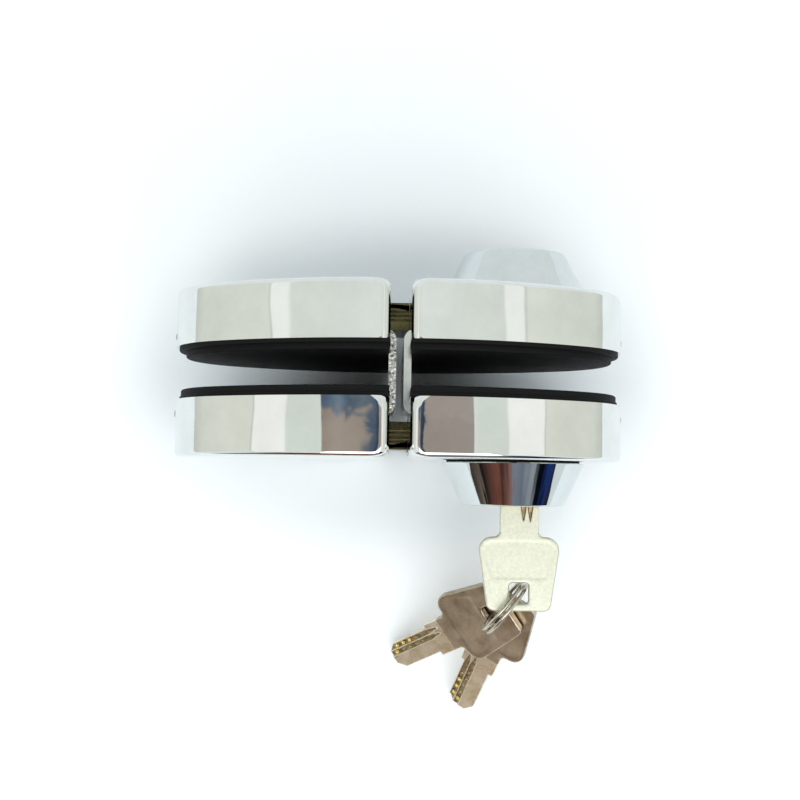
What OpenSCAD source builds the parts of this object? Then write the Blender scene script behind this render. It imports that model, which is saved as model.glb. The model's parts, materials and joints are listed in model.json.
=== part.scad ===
// Centre lock for a pair of frameless glass doors, clamped on the glass edges without drilling.
// X runs across the doors, Y through the glass from front to back, Z up the door.
// The origin is midway between the leaves, in the middle of the glass, at half height.
// The lock half is at +X, the keeper half at -X, and the key side is at -Y.
// Most pieces are drawn in a side frame, seen from the front: x across, y up, z out from the glass.

/* [Glass and gap] */
// Slot between the gaskets, for the glass
glass_slot = 10; // [8:0.5:13]
// Gap between the covers of the two halves
leaf_gap = 7; // [6:0.5:10]

/* [Covers] */
// Length of one cover, from the gap to its round end
cover_len = 65; // [62:1:85]
// Height of a cover at the gap
cover_h = 84; // [76:1:104]
// Radius of the round end
end_r = 32; // [26:1:36]
// Depth of a cover
cover_depth = 17.2; // [16.4:0.2:24]
// Wall of a cover
cover_wall = 1.2; // [0.8:0.1:1.6]
// Rounding of the outer rim
rim_round = 1.5; // [0.6:0.1:2.5]
// Rounding of the edge along the gap
gap_round = 2.5; // [0.8:0.1:3]
// Rounding of the outline's corners at the gap
corner_round = 3; // [1.8:0.1:4]

/* [Gaskets and clamping] */
// Thickness of the wide layer of a gasket
gasket_base_t = 1.2; // [0.8:0.1:2]
// Thickness of the pad that meets the glass
gasket_pad_t = 1.8; // [1:0.1:3]
// Inset of the wide layer from the cover's outline
gasket_base_inset = 0.8; // [0.4:0.1:2]
// Inset of the pad from the cover's outline
gasket_pad_inset = 2.9; // [2:0.1:6]
// Thickness of a pressure plate
plate_t = 1.6; // [1:0.1:2.4]
// Travel left between a pressure plate and its flange
clamp_gap = 0.7; // [0.4:0.1:1.2]
// Diameter of a clamp screw
clamp_screw_d = 6; // [4:0.5:6]
// Length of a clamp screw
clamp_screw_len = 4.6; // [4:0.1:5]
// Distance of the paired clamp screws from the gap edge
clamp_in = 20.5; // [19.5:0.5:21]
// Metal between a paired clamp screw and the edge of its flange
clamp_edge = 1; // [0.8:0.1:1.5]
// Distance of the single clamp screw from the round end
clamp_end = 13.5; // [13.5:0.5:14.5]

/* [Spine] */
// Sheet of the spine
spine_t = 2.2; // [1.6:0.1:3]
// Height of the spine
spine_h = 52; // [46:1:60]
// How far the web stands out of the covers into the gap
web_out = 2.4; // [2.2:0.1:2.8]
// Outer bend of the spine
bend_r = 3.3; // [3:0.1:4]
// Diameter of a cover screw
cover_screw_d = 2.5; // [2:0.1:3]
// Length of a cover screw
cover_screw_len = 9; // [7:0.5:12]
// How far a cover screw stands proud of the cover
cover_screw_out = 0.4; // [0:0.1:1]
// Width of the boss that takes a cover screw
boss_w = 9; // [7:0.5:12]

/* [Bolt] */
// Radius of the crank that drives the bolt
crank_r = 9.8; // [9:0.1:10.4]
// Turn of the key, in degrees
key_turn = 90; // [60:5:90]
// Height of the bolt
bolt_h = 20; // [16:0.5:22]
// Thickness of the tail plate
tail_t = 2.6; // [2:0.1:3]
// Diameter of the drive pin
drive_pin_d = 4; // [3:0.1:4.5]
// Play of the drive pin on each side of its slot
slot_play = 0.4; // [0.35:0.05:0.6]
// Thickness of the crank disc
cam_t = 2.9; // [2.2:0.1:3.2]
// Wall of the bolt case and of the strike box
case_wall = 1; // [0.8:0.1:1.4]
// Pitch of the grooves along the bolt
groove_pitch = 1.35; // [1:0.05:1.6]
// Number of grooves on each side of the bolt
groove_count = 4; // [2:1:5]
// Depth of a groove
groove_depth = 0.35; // [0.2:0.05:0.6]

/* [Cylinder] */
// Distance of the cylinder from the covers' gap edge
cylinder_in = 32.1; // [31.5:0.1:34]
// Offset of the plug from the middle of the cylinder
plug_offset = 2.2; // [0:0.1:2.6]
// Radius of the cylinder body
cylinder_r = 13.4; // [13:0.1:14]
// Radius of the plug
plug_r = 6.6; // [6.2:0.1:7]
// Radius of the plug's head
plug_head_r = 7.8; // [7.6:0.1:8.4]
// Thickness of the plug's head
plug_head_t = 1.2; // [0.8:0.1:1.6]
// Height of a rosette
rosette_h = 13.6; // [12.6:0.1:16]
// Radius of a rosette at its base
rosette_base_r = 22; // [20:0.5:24]
// Radius of a rosette at its face
rosette_face_r = 15.7; // [15.2:0.1:17]
// Rounding of a rosette's face edge
rosette_round = 1; // [0.4:0.1:1.4]
// Shadow gap under a rosette
rosette_gap = 0.5; // [0.2:0.1:1]
// Width of the ring nut behind a cover
nut_w = 3; // [2:0.1:3.4]
// Thickness of the ring nut
nut_t = 1.8; // [1:0.1:2.2]
// Number of pins
pin_count = 5; // [3:1:5]
// Pitch of the pins
pin_pitch = 3; // [2.7:0.1:3.1]
// Distance of the first pin from the face
pin_first = 4.2; // [4:0.1:5]
// Diameter of a pin
pin_d = 2.3; // [1.8:0.1:2.3]

/* [Keys] */
// Thickness of a key
key_t = 2.5; // [2:0.1:2.6]
// Width of a key's bow at its shoulders
bow_w = 26.1; // [23:0.1:28]
// Width of a key's bow at its end
bow_end_w = 19.4; // [16:0.1:22]
// Length of a key's bow
bow_len = 22.7; // [20:0.1:26]
// Rounding of the bow's shoulders
bow_round = 4; // [2.4:0.1:4.4]
// Rounding of the corners at the bow's end
bow_end_round = 2.4; // [2:0.1:4]
// Hollow rounding between the shank and the bow
neck_round = 2; // [0.5:0.1:2.4]
// Width of the ring hole
hole_w = 6; // [5.8:0.1:6.4]
// Length of the ring hole
hole_len = 6.2; // [6:0.1:6.6]
// Metal between the ring hole and the end of the bow
bridge_w = 2.4; // [2:0.1:2.6]
// Raised rim round the bow
bow_rim = 1.4; // [1:0.1:2.5]
// Depth of the bow's panel
panel_depth = 0.25; // [0.1:0.05:0.4]
// Width of a key's shank
shank_w = 11.9; // [10.5:0.1:13]
// Length of a key's shank
shank_len = 9.4; // [7:0.1:12]
// Width of a key's blade
blade_w = 9.2; // [8:0.1:9.6]
// Length of a key's blade
blade_len = 18.5; // [17:0.1:18.6]
// Width of a groove along the blade
track_w = 1.7; // [1.5:0.1:1.8]
// Depth of a groove along the blade
track_depth = 0.6; // [0.4:0.05:0.7]

/* [Key ring] */
// Outer diameter of the split ring
ring_d = 20; // [19.5:0.1:21]
// Diameter of its wire
wire_d = 1.2; // [1:0.05:1.25]
// Clear space between its two turns
ring_gap = 0.45; // [0.42:0.01:0.5]
// Heading of the ring's plane, in degrees
ring_heading = -129.2; // [-132:0.1:-126]
// Lean of the ring's plane, in degrees
ring_lean = 2; // [1:0.1:3]
// Turn, dip and roll of the left spare key, in degrees
left_turn = 120.2; // [119:0.1:121]
left_dip = -37.6; // [-38.5:0.1:-37]
left_roll = -6.9; // [-8:0.1:-6]
// Turn, dip and roll of the right spare key, in degrees
right_turn = 160.4; // [159.5:0.1:161]
right_dip = -34.6; // [-35.5:0.1:-34]
right_roll = 17.5; // [16.5:0.1:18.5]

/* [Clearances] */
// Clearance of pieces that slide on each other
slide_gap = 0.3; // [0.2:0.05:0.4]
// Clearance of pieces that are fitted and stay
fit_gap = 0.2; // [0.1:0.05:0.3]
// Clearance of a screw in its hole
screw_gap = 0.05; // [0.03:0.01:0.1]
// Clearance of the plug in its bore
plug_gap = 0.06; // [0.04:0.01:0.1]

/* [Hidden] */
$fn = 64;

// Colours
polished = "#DDE2DC";
bright = "#C9CCCB";
rubber = "#17181A";
plated = "#8A8D90";
brass = "#B79A52";
nickel = "#DAD8C6";

// Outline of a cover: two large side arcs, tangent to the round end
gap_x = leaf_gap / 2;
half_h = cover_h / 2;
end_in = cover_len - end_r;
side_r = (pow(end_in, 2) + pow(half_h, 2) - pow(end_r, 2)) / (2 * (half_h - end_r));
arc_split = atan2(side_r - half_h, end_in);
arc_over = 5;
far = 4 * (cover_len + cover_h);
corner_x = gap_x + corner_round;
corner_y = half_h - side_r + sqrt(pow(side_r, 2) - pow(corner_round, 2)) - corner_round;

// Heights out from the middle of the glass
gasket_face = glass_slot / 2;
gasket_step = gasket_face + gasket_pad_t;
cover_edge = gasket_step + gasket_base_t;
plate_top = cover_edge + plate_t;
flange_low = plate_top + clamp_gap;
flange_top = flange_low + spine_t;
case_low = flange_top;
bolt_low = case_low + case_wall + slide_gap;
tail_top = bolt_low + tail_t;
cam_low = tail_top + slide_gap;
cam_top = cam_low + cam_t;
cylinder_low = cam_top + slide_gap;
cover_top = cover_edge + cover_depth;
cover_ceiling = cover_top - cover_wall;
case_top = cover_ceiling - 2 * fit_gap;
bolt_top = case_top - case_wall - slide_gap;
face = cover_top + rosette_h;

// Places across the lock
web_x = gap_x - web_out;
cylinder_x = gap_x + cylinder_in;
plug_x = cylinder_x + plug_offset;
nut_r = cylinder_r + screw_gap + nut_w;
half_turn = key_turn / 2;
travel = 2 * crank_r * sin(half_turn);
drive_x = -crank_r * sin(half_turn);
drive_y = crank_r * cos(half_turn);
cam_rim = 0.6;
cam_r = crank_r + drive_pin_d / 2 + cam_rim;
case_lip = 0.7;
case_front = gap_x - case_lip;
case_back = cylinder_x - nut_r - 2 * fit_gap;
case_y = bolt_h / 2 + slide_gap;
nose_tip = gap_x - travel;
nose_back = case_back - travel;
step_back = plug_x - cam_r - slide_gap - travel;
strike_room = 1.5;
strike_back = -nose_tip + strike_room + case_wall;
slot_x = plug_x + drive_x;
slot_w = drive_pin_d + 2 * slot_play;
slot_low = drive_y - drive_pin_d / 2 - slot_play;
slot_high = crank_r + drive_pin_d / 2 + slot_play;
tail_land = 2.4;
arm_y = 7;

// Screws and their places in the side frame
case_ear = 8;
ear_mid = gap_x + 8;
ear_len = 8;
case_screw_r = 1.5;
case_head_r = 2.7;
case_head_t = 1.7;
ear_y = case_y + case_wall + case_ear / 2;
clamp_y = spine_h / 2 - clamp_screw_d / 2 - clamp_edge;
clamp_spots = [
  [gap_x + clamp_in, clamp_y],
  [gap_x + clamp_in, -clamp_y],
  [gap_x + cover_len - clamp_end, 0]
];
hex_share = 0.5;
boss_len = 9;
boss_top = flange_top + 1.8;
cover_screw_z = (flange_low + boss_top) / 2 - 0.4;
cover_end = gap_x + cover_len;

// Pins of a cylinder, from the plug's axis
pin_r = pin_d / 2;
pin_bore_r = pin_r + 0.1;
pin_x = 1.25;
pin_tip_r = 0.6;
pin_shear = plug_r + plug_gap;
key_pin_top = sqrt(pow(plug_r, 2) - pow(pin_x + pin_r, 2)) - screw_gap;
driver_low = pin_shear + screw_gap;
driver_len = 2;
stop_len = 1.1;
stop_top = sqrt(pow(cylinder_r, 2) - pow(plug_offset + pin_x + pin_bore_r, 2)) - screw_gap;
keyway_w = blade_w + 2 * fit_gap;
keyway_t = key_t + 2 * fit_gap;
keyway_low = face - blade_len - 0.3;
cam_screw_r = 0.95;
cam_head_r = 1.9;
cam_screw_x = 3.4;
cam_screw_end = cam_top + 2;
function pin_height(i) = face - pin_first - i * pin_pitch;

// Keys: local y runs from the shoulder to the tip of the blade
shoulder_gap = 0.2;
hole_round = 0.8;
hole_y = -(shank_len + bow_len - bridge_w - hole_len / 2);
key_y = -face - shoulder_gap;
track_x = [pin_x, pin_x + track_w + 0.4];
track_run = 5.4;
tip_taper = 2.4;
tip_len = 3;
dimple_r = 0.8;
dimple_low_r = 0.25;
dimple_depth = 0.4;

// Ring: how far each hole's middle lies inside the wire, round the ring and off its plane
ring_r = (ring_d - wire_d) / 2;
ring_lane = (wire_d + ring_gap) / 2;
ring_along = [cos(ring_heading), sin(ring_heading), 0];
ring_across = [-sin(ring_heading), cos(ring_heading), 0];
ring_up = [0, 0, cos(ring_lean)] - ring_across * sin(ring_lean);
ring_axis = [0, 0, sin(ring_lean)] + ring_across * cos(ring_lean);
lock_hole = [plug_x, key_y + hole_y, 0];
lock_seat = [138.3, 1.17, -0.04];
left_seat = [-65.2, 1.26, -0.78];
right_seat = [-89.3, 0.79, 0.9];
function ring_spot(seat) =
  (ring_r - seat[1]) * (cos(seat[0]) * ring_along + sin(seat[0]) * ring_up) + seat[2] * ring_axis;
ring_mid = lock_hole - ring_spot(lock_seat);
loop_steps = 24;
wire_sides = 8;
ring_turns = 1.92;
jog_from = 0.93;
jog_to = 1;
ring_rings = round(loop_steps * ring_turns);

// Placing
module front_side() {
  rotate([90, 0, 0])
    children();
}

module back_side() {
  rotate([180, 0, 0])
    front_side()
      children();
}

module keeper_side() {
  mirror([1, 0, 0])
    children();
}

// Shared outlines
module rim_profile(r, low, high, edge) {
  translate([0, low])
    square([r, high - low - edge]);
  if (edge > 0) {
    translate([0, low])
      square([r - edge, high - low]);
    translate([r - edge, high - edge])
      circle(edge);
  }
}

// Sweeps a profile round the outline; the profile takes its radius from $rim_r
module side_sweep() {
  $rim_r = side_r;
  translate([end_r - side_r, 0, 0])
    rotate_extrude(angle = 90 - arc_split + arc_over, $fn = 180)
      children();
}

module end_sweep() {
  $rim_r = end_r;
  mirror([0, 1, 0])
    rotate_extrude(angle = arc_split + arc_over, $fn = 180)
      children();
}

module upper_sweep() {
  intersection() {
    translate([gap_x + end_in, 0, 0])
      rotate([0, 0, arc_split]) {
        side_sweep()
          children();
        end_sweep()
          children();
      }
    translate([-far / 2, 0, -far / 2])
      cube(far);
  }
}

module oval_sweep() {
  upper_sweep()
    children();
  mirror([0, 1, 0])
    upper_sweep()
      children();
}

module half_oval(inset, low, high, edge = 0) {
  oval_sweep()
    rim_profile($rim_r - inset, low, high, edge);
}

module half_oval_from(x, inset, low, high, edge = 0) {
  intersection() {
    half_oval(inset, low, high, edge);
    translate([x, -far / 2, low - 1])
      cube([far, far, high - low + 2]);
  }
}

// What the rounded corners at the gap leave off an outline
module corner_waste(inset, low, high) {
  for (side = [0, 1])
    mirror([0, side, 0])
      difference() {
        translate([corner_x - 2 * corner_round, corner_y, low])
          cube([2 * corner_round, 2 * corner_round, high - low]);
        translate([corner_x, corner_y, low - 1])
          cylinder(h = high - low + 2, r = corner_round - inset);
      }
}

module slab(x0, x1, y0, y1, z0, z1) {
  translate([x0, y0, z0])
    cube([x1 - x0, y1 - y0, z1 - z0]);
}

// Outline with its own rounding at each corner, for points that run anticlockwise
corner_steps = 10;
function unit(v) = v / norm(v);
function round_corner(points, i, r) =
  let (
    n = len(points),
    p = points[i],
    back = unit(points[(i + n - 1) % n] - p),
    ahead = unit(points[(i + 1) % n] - p),
    half = acos(back * ahead) / 2,
    mid = p + unit(back + ahead) * r / sin(half),
    outward = atan2(p[1] - mid[1], p[0] - mid[0])
  )
  [
    for (k = [0 : corner_steps])
      let (a = outward + (90 - half) * (2 * k / corner_steps - 1))
        mid + r * [cos(a), sin(a)]
  ];

module rounded(points, radii) {
  polygon([for (i = [0 : len(points) - 1]) each round_corner(points, i, radii[i])]);
}

function box_points(w, h) = [[-w / 2, -h / 2], [w / 2, -h / 2], [w / 2, h / 2], [-w / 2, h / 2]];

// Covers
module gap_edge() {
  low = cover_edge - 1;
  rotate([90, 0, 0])
    translate([0, 0, -far / 2])
      linear_extrude(far) {
        translate([gap_x, low])
          square([far, cover_top - gap_round - low]);
        translate([gap_x + gap_round, low])
          square([far, cover_top - low]);
        translate([gap_x + gap_round, cover_top - gap_round])
          circle(gap_round);
      }
}

module cover_shell() {
  difference() {
    intersection() {
      half_oval(0, cover_edge, cover_top, rim_round);
      gap_edge();
    }
    corner_waste(0, cover_edge - 1, cover_top + 1);
    difference() {
      half_oval_from(
        gap_x + cover_wall, cover_wall, cover_edge - 1, cover_ceiling, max(rim_round - cover_wall, 0)
      );
      corner_waste(cover_wall, cover_edge - 2, cover_top);
    }
    spine_window = spine_h / 2 + 2 * fit_gap;
    case_window = case_y + case_wall + fit_gap;
    slab(0, gap_x + cover_wall + 1, -spine_window, spine_window, cover_edge - 1, flange_top + fit_gap);
    slab(0, gap_x + cover_wall + 1, -case_window, case_window, cover_edge, case_top + fit_gap);
    translate([cover_end - cover_wall - 3, 0, cover_screw_z])
      rotate([0, 90, 0])
        cylinder(h = cover_wall + 6, r = cover_screw_d / 2 + screw_gap);
  }
}

module lock_cover() {
  color(polished)
    difference() {
      cover_shell();
      translate([cylinder_x, 0, cover_ceiling - 1])
        cylinder(h = cover_wall + 2, r = cylinder_r + fit_gap);
    }
}

module keeper_cover() {
  color(polished)
    cover_shell();
}

// Gaskets and pressure plates
module gasket_profile(r) {
  polygon([
    [0, gasket_face], [r - gasket_pad_inset, gasket_face], [r - gasket_pad_inset, gasket_step],
    [r - gasket_base_inset, gasket_step], [r - gasket_base_inset, cover_edge], [0, cover_edge]
  ]);
}

module gasket() {
  color(rubber)
    intersection() {
      oval_sweep()
        gasket_profile($rim_r);
      slab(gap_x, far, -far, far, 0, far);
    }
}

module pressure_plate() {
  inset = cover_wall + 2 * fit_gap;
  color(plated)
    difference() {
      half_oval_from(gap_x + inset, inset, cover_edge, plate_top);
      corner_waste(inset, cover_edge - 1, plate_top + 1);
    }
}

// Spine: a bent sheet round the glass edge
module bend_section(x, y, r) {
  translate([x, -y + r])
    square([far, 2 * (y - r)]);
  translate([x + r, -y])
    square([far, 2 * y]);
  for (side = [-1, 1])
    translate([x + r, side * (y - r)])
      circle(r);
}

module flange_holes() {
  for (p = clamp_spots)
    translate([p[0], p[1], flange_low - 1])
      cylinder(h = spine_t + 2, r = clamp_screw_d / 2 + screw_gap);
  for (side = [-1, 1])
    translate([ear_mid, side * ear_y, flange_low - 1])
      cylinder(h = spine_t + 2, r = case_screw_r + screw_gap);
  translate([cover_end - cover_wall - cover_screw_len - 2, 0, cover_screw_z])
    rotate([0, 90, 0])
      cylinder(h = cover_screw_len + 4, r = cover_screw_d / 2 + screw_gap);
}

module end_boss() {
  slab(cover_end - cover_wall - boss_len, far, -boss_w / 2, boss_w / 2, flange_low, boss_top);
}

module spine() {
  inset = cover_wall + 2 * fit_gap;
  color(bright)
    difference() {
      intersection() {
        union() {
          translate([0, 0, -spine_h / 2])
            linear_extrude(spine_h)
              difference() {
                bend_section(web_x, flange_top, bend_r);
                bend_section(web_x + spine_t, flange_low, bend_r - spine_t);
              }
          front_side()
            end_boss();
          back_side()
            end_boss();
        }
        front_side() {
          half_oval(inset, -boss_top, boss_top);
          slab(0, gap_x + cover_wall, -spine_h / 2, spine_h / 2, -boss_top, boss_top);
        }
      }
      front_side()
        flange_holes();
      back_side()
        flange_holes();
    }
}

// Screws
module set_screw(d, len) {
  difference() {
    cylinder(h = len, r = d / 2);
    translate([0, 0, len * hex_share])
      cylinder(h = len, r = d * hex_share / 2, $fn = 6);
  }
}

module clamp_screw_set() {
  color(plated)
    for (p = clamp_spots)
      translate([p[0], p[1], plate_top])
        set_screw(clamp_screw_d, clamp_screw_len);
}

module cover_screw() {
  color(plated)
    translate([cover_end + cover_screw_out - cover_screw_len, 0, cover_screw_z])
      rotate([0, 90, 0])
        set_screw(cover_screw_d, cover_screw_len);
}

module case_screw_pair() {
  color(plated)
    for (side = [-1, 1])
      translate([ear_mid, side * ear_y, flange_low]) {
        cylinder(h = spine_t + case_wall, r = case_screw_r);
        translate([0, 0, spine_t + case_wall])
          difference() {
            cylinder(h = case_head_t, r = case_head_r);
            translate([-case_head_r, -case_head_r / 8, case_head_t / 2])
              cube([2 * case_head_r, case_head_r / 4, case_head_t]);
          }
      }
}

// Bolt case, strike box and bolt
module bolt_sleeve(front, back, closed) {
  outer_y = case_y + case_wall;
  color(bright)
    difference() {
      union() {
        slab(front, back, -outer_y, outer_y, case_low, case_top);
        slab(
          ear_mid - ear_len / 2, ear_mid + ear_len / 2,
          -outer_y - case_ear, outer_y + case_ear, case_low, case_low + case_wall
        );
      }
      slab(
        front - 1, closed ? back - case_wall : back + 1,
        -case_y, case_y, case_low + case_wall, case_top - case_wall
      );
      for (side = [-1, 1])
        translate([ear_mid, side * ear_y, case_low - 1])
          cylinder(h = case_wall + 2, r = case_screw_r + screw_gap);
    }
}

module bolt_case() {
  bolt_sleeve(case_front, case_back, false);
}

module strike_box() {
  bolt_sleeve(case_front, max(strike_back, ear_mid + ear_len / 2), true);
}

module bolt() {
  y = bolt_h / 2;
  tip_bevel = 1;
  head_x0 = slot_x - slot_w / 2 - tail_land;
  head_x1 = slot_x + slot_w / 2 + tail_land;
  color(brass)
    difference() {
      union() {
        translate([0, 0, bolt_low])
          linear_extrude(bolt_top - bolt_low)
            polygon([
              [nose_tip, tip_bevel - y], [nose_tip + tip_bevel, -y], [nose_back, -y],
              [nose_back, y], [nose_tip + tip_bevel, y], [nose_tip, y - tip_bevel]
            ]);
        slab(nose_back - 1, step_back, -y, y, bolt_low, cam_top);
        slab(step_back - 1, head_x1, -arm_y, arm_y, bolt_low, tail_top);
        slab(head_x0, head_x1, -arm_y, slot_high + tail_land, bolt_low, tail_top);
      }
      slab(slot_x - slot_w / 2, slot_x + slot_w / 2, slot_low + slot_w / 2, slot_high - slot_w / 2, 0, far);
      for (end_y = [slot_low + slot_w / 2, slot_high - slot_w / 2])
        translate([slot_x, end_y, 0])
          cylinder(h = far, r = slot_w / 2);
      for (side = [-1, 1], i = [1 : groove_count])
        translate([nose_tip - 1, side * y, bolt_top - i * groove_pitch])
          rotate([45, 0, 0])
            translate([0, -groove_depth / sqrt(2), -groove_depth / sqrt(2)])
              cube([nose_back - nose_tip + 1, sqrt(2) * groove_depth, sqrt(2) * groove_depth]);
    }
}

// Rosette and cylinder
module rosette() {
  seat_r = rosette_base_r - 1.5;
  slope = atan2(rosette_base_r - rosette_face_r, face - cover_top - rosette_gap);
  edge_x = rosette_face_r - rosette_round * tan(45 - slope / 2);
  edge_y = face - rosette_round;
  bore = cylinder_r + screw_gap;
  color(polished)
    translate([cylinder_x, 0, 0])
      rotate_extrude() {
        polygon([
          [bore, cover_top], [seat_r, cover_top], [seat_r, cover_top + rosette_gap],
          [rosette_base_r, cover_top + rosette_gap],
          [edge_x + rosette_round * cos(slope), edge_y + rosette_round * sin(slope)],
          [edge_x, edge_y], [edge_x, face], [bore, face]
        ]);
        translate([edge_x, edge_y])
          intersection() {
            circle(rosette_round);
            square(2 * rosette_round);
          }
      }
}

module pin_row(low, high, r) {
  for (i = [0 : pin_count - 1])
    translate([plug_x + pin_x, 0, pin_height(i)])
      rotate([-90, 0, 0])
        translate([0, 0, low])
          cylinder(h = high - low, r = r);
}

module cylinder_body() {
  color(bright)
    difference() {
      translate([cylinder_x, 0, cylinder_low])
        cylinder(h = face - cylinder_low, r = cylinder_r);
      translate([plug_x, 0, cylinder_low - 1])
        cylinder(h = face - cylinder_low + 2, r = plug_r + plug_gap);
      translate([plug_x, 0, face - plug_head_t - slide_gap])
        cylinder(h = plug_head_t + slide_gap + 1, r = plug_head_r + plug_gap);
      pin_row(0, cylinder_r + plug_offset, pin_bore_r);
    }
}

module cylinder_nut() {
  notch_w = 4;
  color(bright)
    translate([cylinder_x, 0, cover_ceiling - nut_t])
      difference() {
        cylinder(h = nut_t, r = nut_r);
        translate([0, 0, -1])
          cylinder(h = nut_t + 2, r = cylinder_r + screw_gap);
        for (side = [-1, 1])
          translate([-notch_w / 2, side * (nut_r - nut_w / 4) - nut_w / 2, -1])
            cube([notch_w, nut_w, nut_t + 2]);
      }
}

module cam_screw_spots() {
  for (side = [-1, 1])
    translate([plug_x - side * cam_screw_x, side * cam_screw_x, 0])
      children();
}

module plug() {
  color(brass)
    difference() {
      translate([plug_x, 0, 0]) {
        translate([0, 0, cam_top])
          cylinder(h = face - cam_top, r = plug_r);
        translate([0, 0, face - plug_head_t])
          cylinder(h = plug_head_t, r = plug_head_r);
      }
      slab(
        plug_x - keyway_w / 2, plug_x + keyway_w / 2, -keyway_t / 2, keyway_t / 2,
        keyway_low, face + 1
      );
      pin_row(0, plug_r + 1, pin_bore_r);
      cam_screw_spots()
        translate([0, 0, cam_top - 1])
          cylinder(h = cam_screw_end - cam_top + 1, r = cam_screw_r + screw_gap);
    }
}

module key_pins() {
  tip_low = key_t / 2 - track_depth + fit_gap;
  body_low = key_t / 2 + fit_gap;
  color(brass) {
    pin_row(tip_low, body_low, pin_tip_r);
    pin_row(body_low, key_pin_top, pin_r);
  }
}

module driver_pins() {
  color(bright)
    pin_row(driver_low, driver_low + driver_len, pin_r);
}

module pin_springs() {
  color(bright)
    difference() {
      pin_row(driver_low + driver_len, stop_top - stop_len, pin_r - 0.2);
      pin_row(driver_low, stop_top, pin_r - 0.45);
    }
}

module pin_stops() {
  color(brass)
    pin_row(stop_top - stop_len, stop_top, pin_r);
}

module cam() {
  color(bright)
    difference() {
      intersection() {
        translate([plug_x, 0, cam_low])
          cylinder(h = cam_t, r = cam_r);
        slab(plug_x - cam_r, plug_x + cam_r, -plug_r, cam_r, cam_low, cam_top);
      }
      translate([slot_x, drive_y, cam_low - 1])
        cylinder(h = cam_t + 2, r = drive_pin_d / 2 + screw_gap);
      cam_screw_spots() {
        translate([0, 0, cam_low - 1])
          cylinder(h = cam_t + 2, r = cam_screw_r + screw_gap);
        translate([0, 0, cam_low])
          cylinder(h = cam_head_r - cam_screw_r, r1 = cam_head_r + screw_gap, r2 = cam_screw_r + screw_gap);
      }
    }
}

module drive_pin() {
  color(plated)
    translate([slot_x, drive_y, bolt_low])
      cylinder(h = cam_top - bolt_low, r = drive_pin_d / 2);
}

module cam_screws() {
  color(plated)
    cam_screw_spots() {
      translate([0, 0, cam_low])
        cylinder(h = cam_head_r - cam_screw_r, r1 = cam_head_r, r2 = cam_screw_r);
      translate([0, 0, cam_low])
        cylinder(h = cam_screw_end - cam_low - fit_gap, r = cam_screw_r);
    }
}

// Keys
function bow_outline(inset, end_inset) = [
  [bow_w / 2 - inset, -shank_len - inset], [-bow_w / 2 + inset, -shank_len - inset],
  [-bow_end_w / 2 + inset, -shank_len - bow_len + end_inset],
  [bow_end_w / 2 - inset, -shank_len - bow_len + end_inset]
];

function bow_radii(inset) =
  [bow_round - inset, bow_round - inset, bow_end_round - inset, bow_end_round - inset];

module key_blank() {
  linear_extrude(key_t, center = true) {
    rounded(bow_outline(0, 0), bow_radii(0));
    translate([-shank_w / 2, -shank_len - 1])
      square([shank_w, shank_len + 1]);
    difference() {
      translate([-shank_w / 2 - neck_round, -shank_len - 1])
        square([shank_w + 2 * neck_round, neck_round + 1]);
      for (side = [-1, 1])
        translate([side * (shank_w / 2 + neck_round), -shank_len + neck_round])
          circle(neck_round);
    }
    polygon([
      [-blade_w / 2, -1], [blade_w / 2, -1], [blade_w / 2, blade_len - tip_len],
      [blade_w / 2 - tip_taper, blade_len], [tip_taper - blade_w / 2, blade_len],
      [-blade_w / 2, blade_len - tip_len]
    ]);
  }
}

module key_face_cuts() {
  panel_end = bridge_w + hole_len + bow_rim;
  translate([0, 0, key_t / 2 - panel_depth])
    linear_extrude(key_t)
      rounded(bow_outline(bow_rim, panel_end), bow_radii(bow_rim));
  for (x = track_x)
    translate([x, 0, key_t / 2 - track_depth])
      linear_extrude(key_t)
        polygon([
          [-track_w / 2, blade_len + 1], [-track_w / 2, 0], [0, -track_run],
          [track_w / 2, 0], [track_w / 2, blade_len + 1]
        ]);
  for (row = [0, 1], i = [0 : pin_count - 1 - row])
    translate([
      track_x[row], pin_first - shoulder_gap + (i + row / 2) * pin_pitch,
      key_t / 2 - track_depth - dimple_depth
    ])
      cylinder(h = dimple_depth + track_depth, r1 = dimple_low_r, r2 = dimple_r);
}

module key() {
  color(nickel)
    difference() {
      key_blank();
      translate([0, hole_y, -key_t])
        linear_extrude(2 * key_t)
          rounded(box_points(hole_w, hole_len), [hole_round, hole_round, hole_round, hole_round]);
      key_face_cuts();
      rotate([0, 180, 0])
        key_face_cuts();
    }
}

module hung_key(seat, turn, dip, roll) {
  translate(ring_mid + ring_spot(seat))
    rotate([0, 0, turn])
      rotate([dip, 0, 0])
        rotate([0, roll, 0])
          translate([0, -hole_y, 0])
            key();
}

// Split ring: two turns of one wire, joined by a jog
function smooth(t) = t * t * (3 - 2 * t);
function lane(t) = ring_lane * (1 - 2 * smooth(min(max((t - jog_from) / (jog_to - jog_from), 0), 1)));
function wire_mid(i) =
  let (t = i / loop_steps)
  [ring_r * cos(360 * t), ring_r * sin(360 * t), lane(t)];
function wire_skin(i) =
  let (t = i / loop_steps)
  [
    for (k = [0 : wire_sides - 1])
      let (a = 360 * (k + 0.5) / wire_sides, r = ring_r + wire_d / 2 * cos(a))
        [r * cos(360 * t), r * sin(360 * t), lane(t) + wire_d / 2 * sin(a)]
  ];
function skin_faces(i) = [
  for (k = [0 : wire_sides - 1])
    let (a = i * wire_sides + k, b = i * wire_sides + (k + 1) % wire_sides)
      each [[a, a + wire_sides, b], [b, a + wire_sides, b + wire_sides]]
];
wire_mids = [for (i = [0 : ring_rings]) wire_mid(i)];
least_gap = min([
  for (i = [0 : ring_rings], j = [0 : ring_rings])
    if (j - i > loop_steps / 4) norm(wire_mids[i] - wire_mids[j])
]) - wire_d;
echo(ring_least_gap = least_gap);

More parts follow.
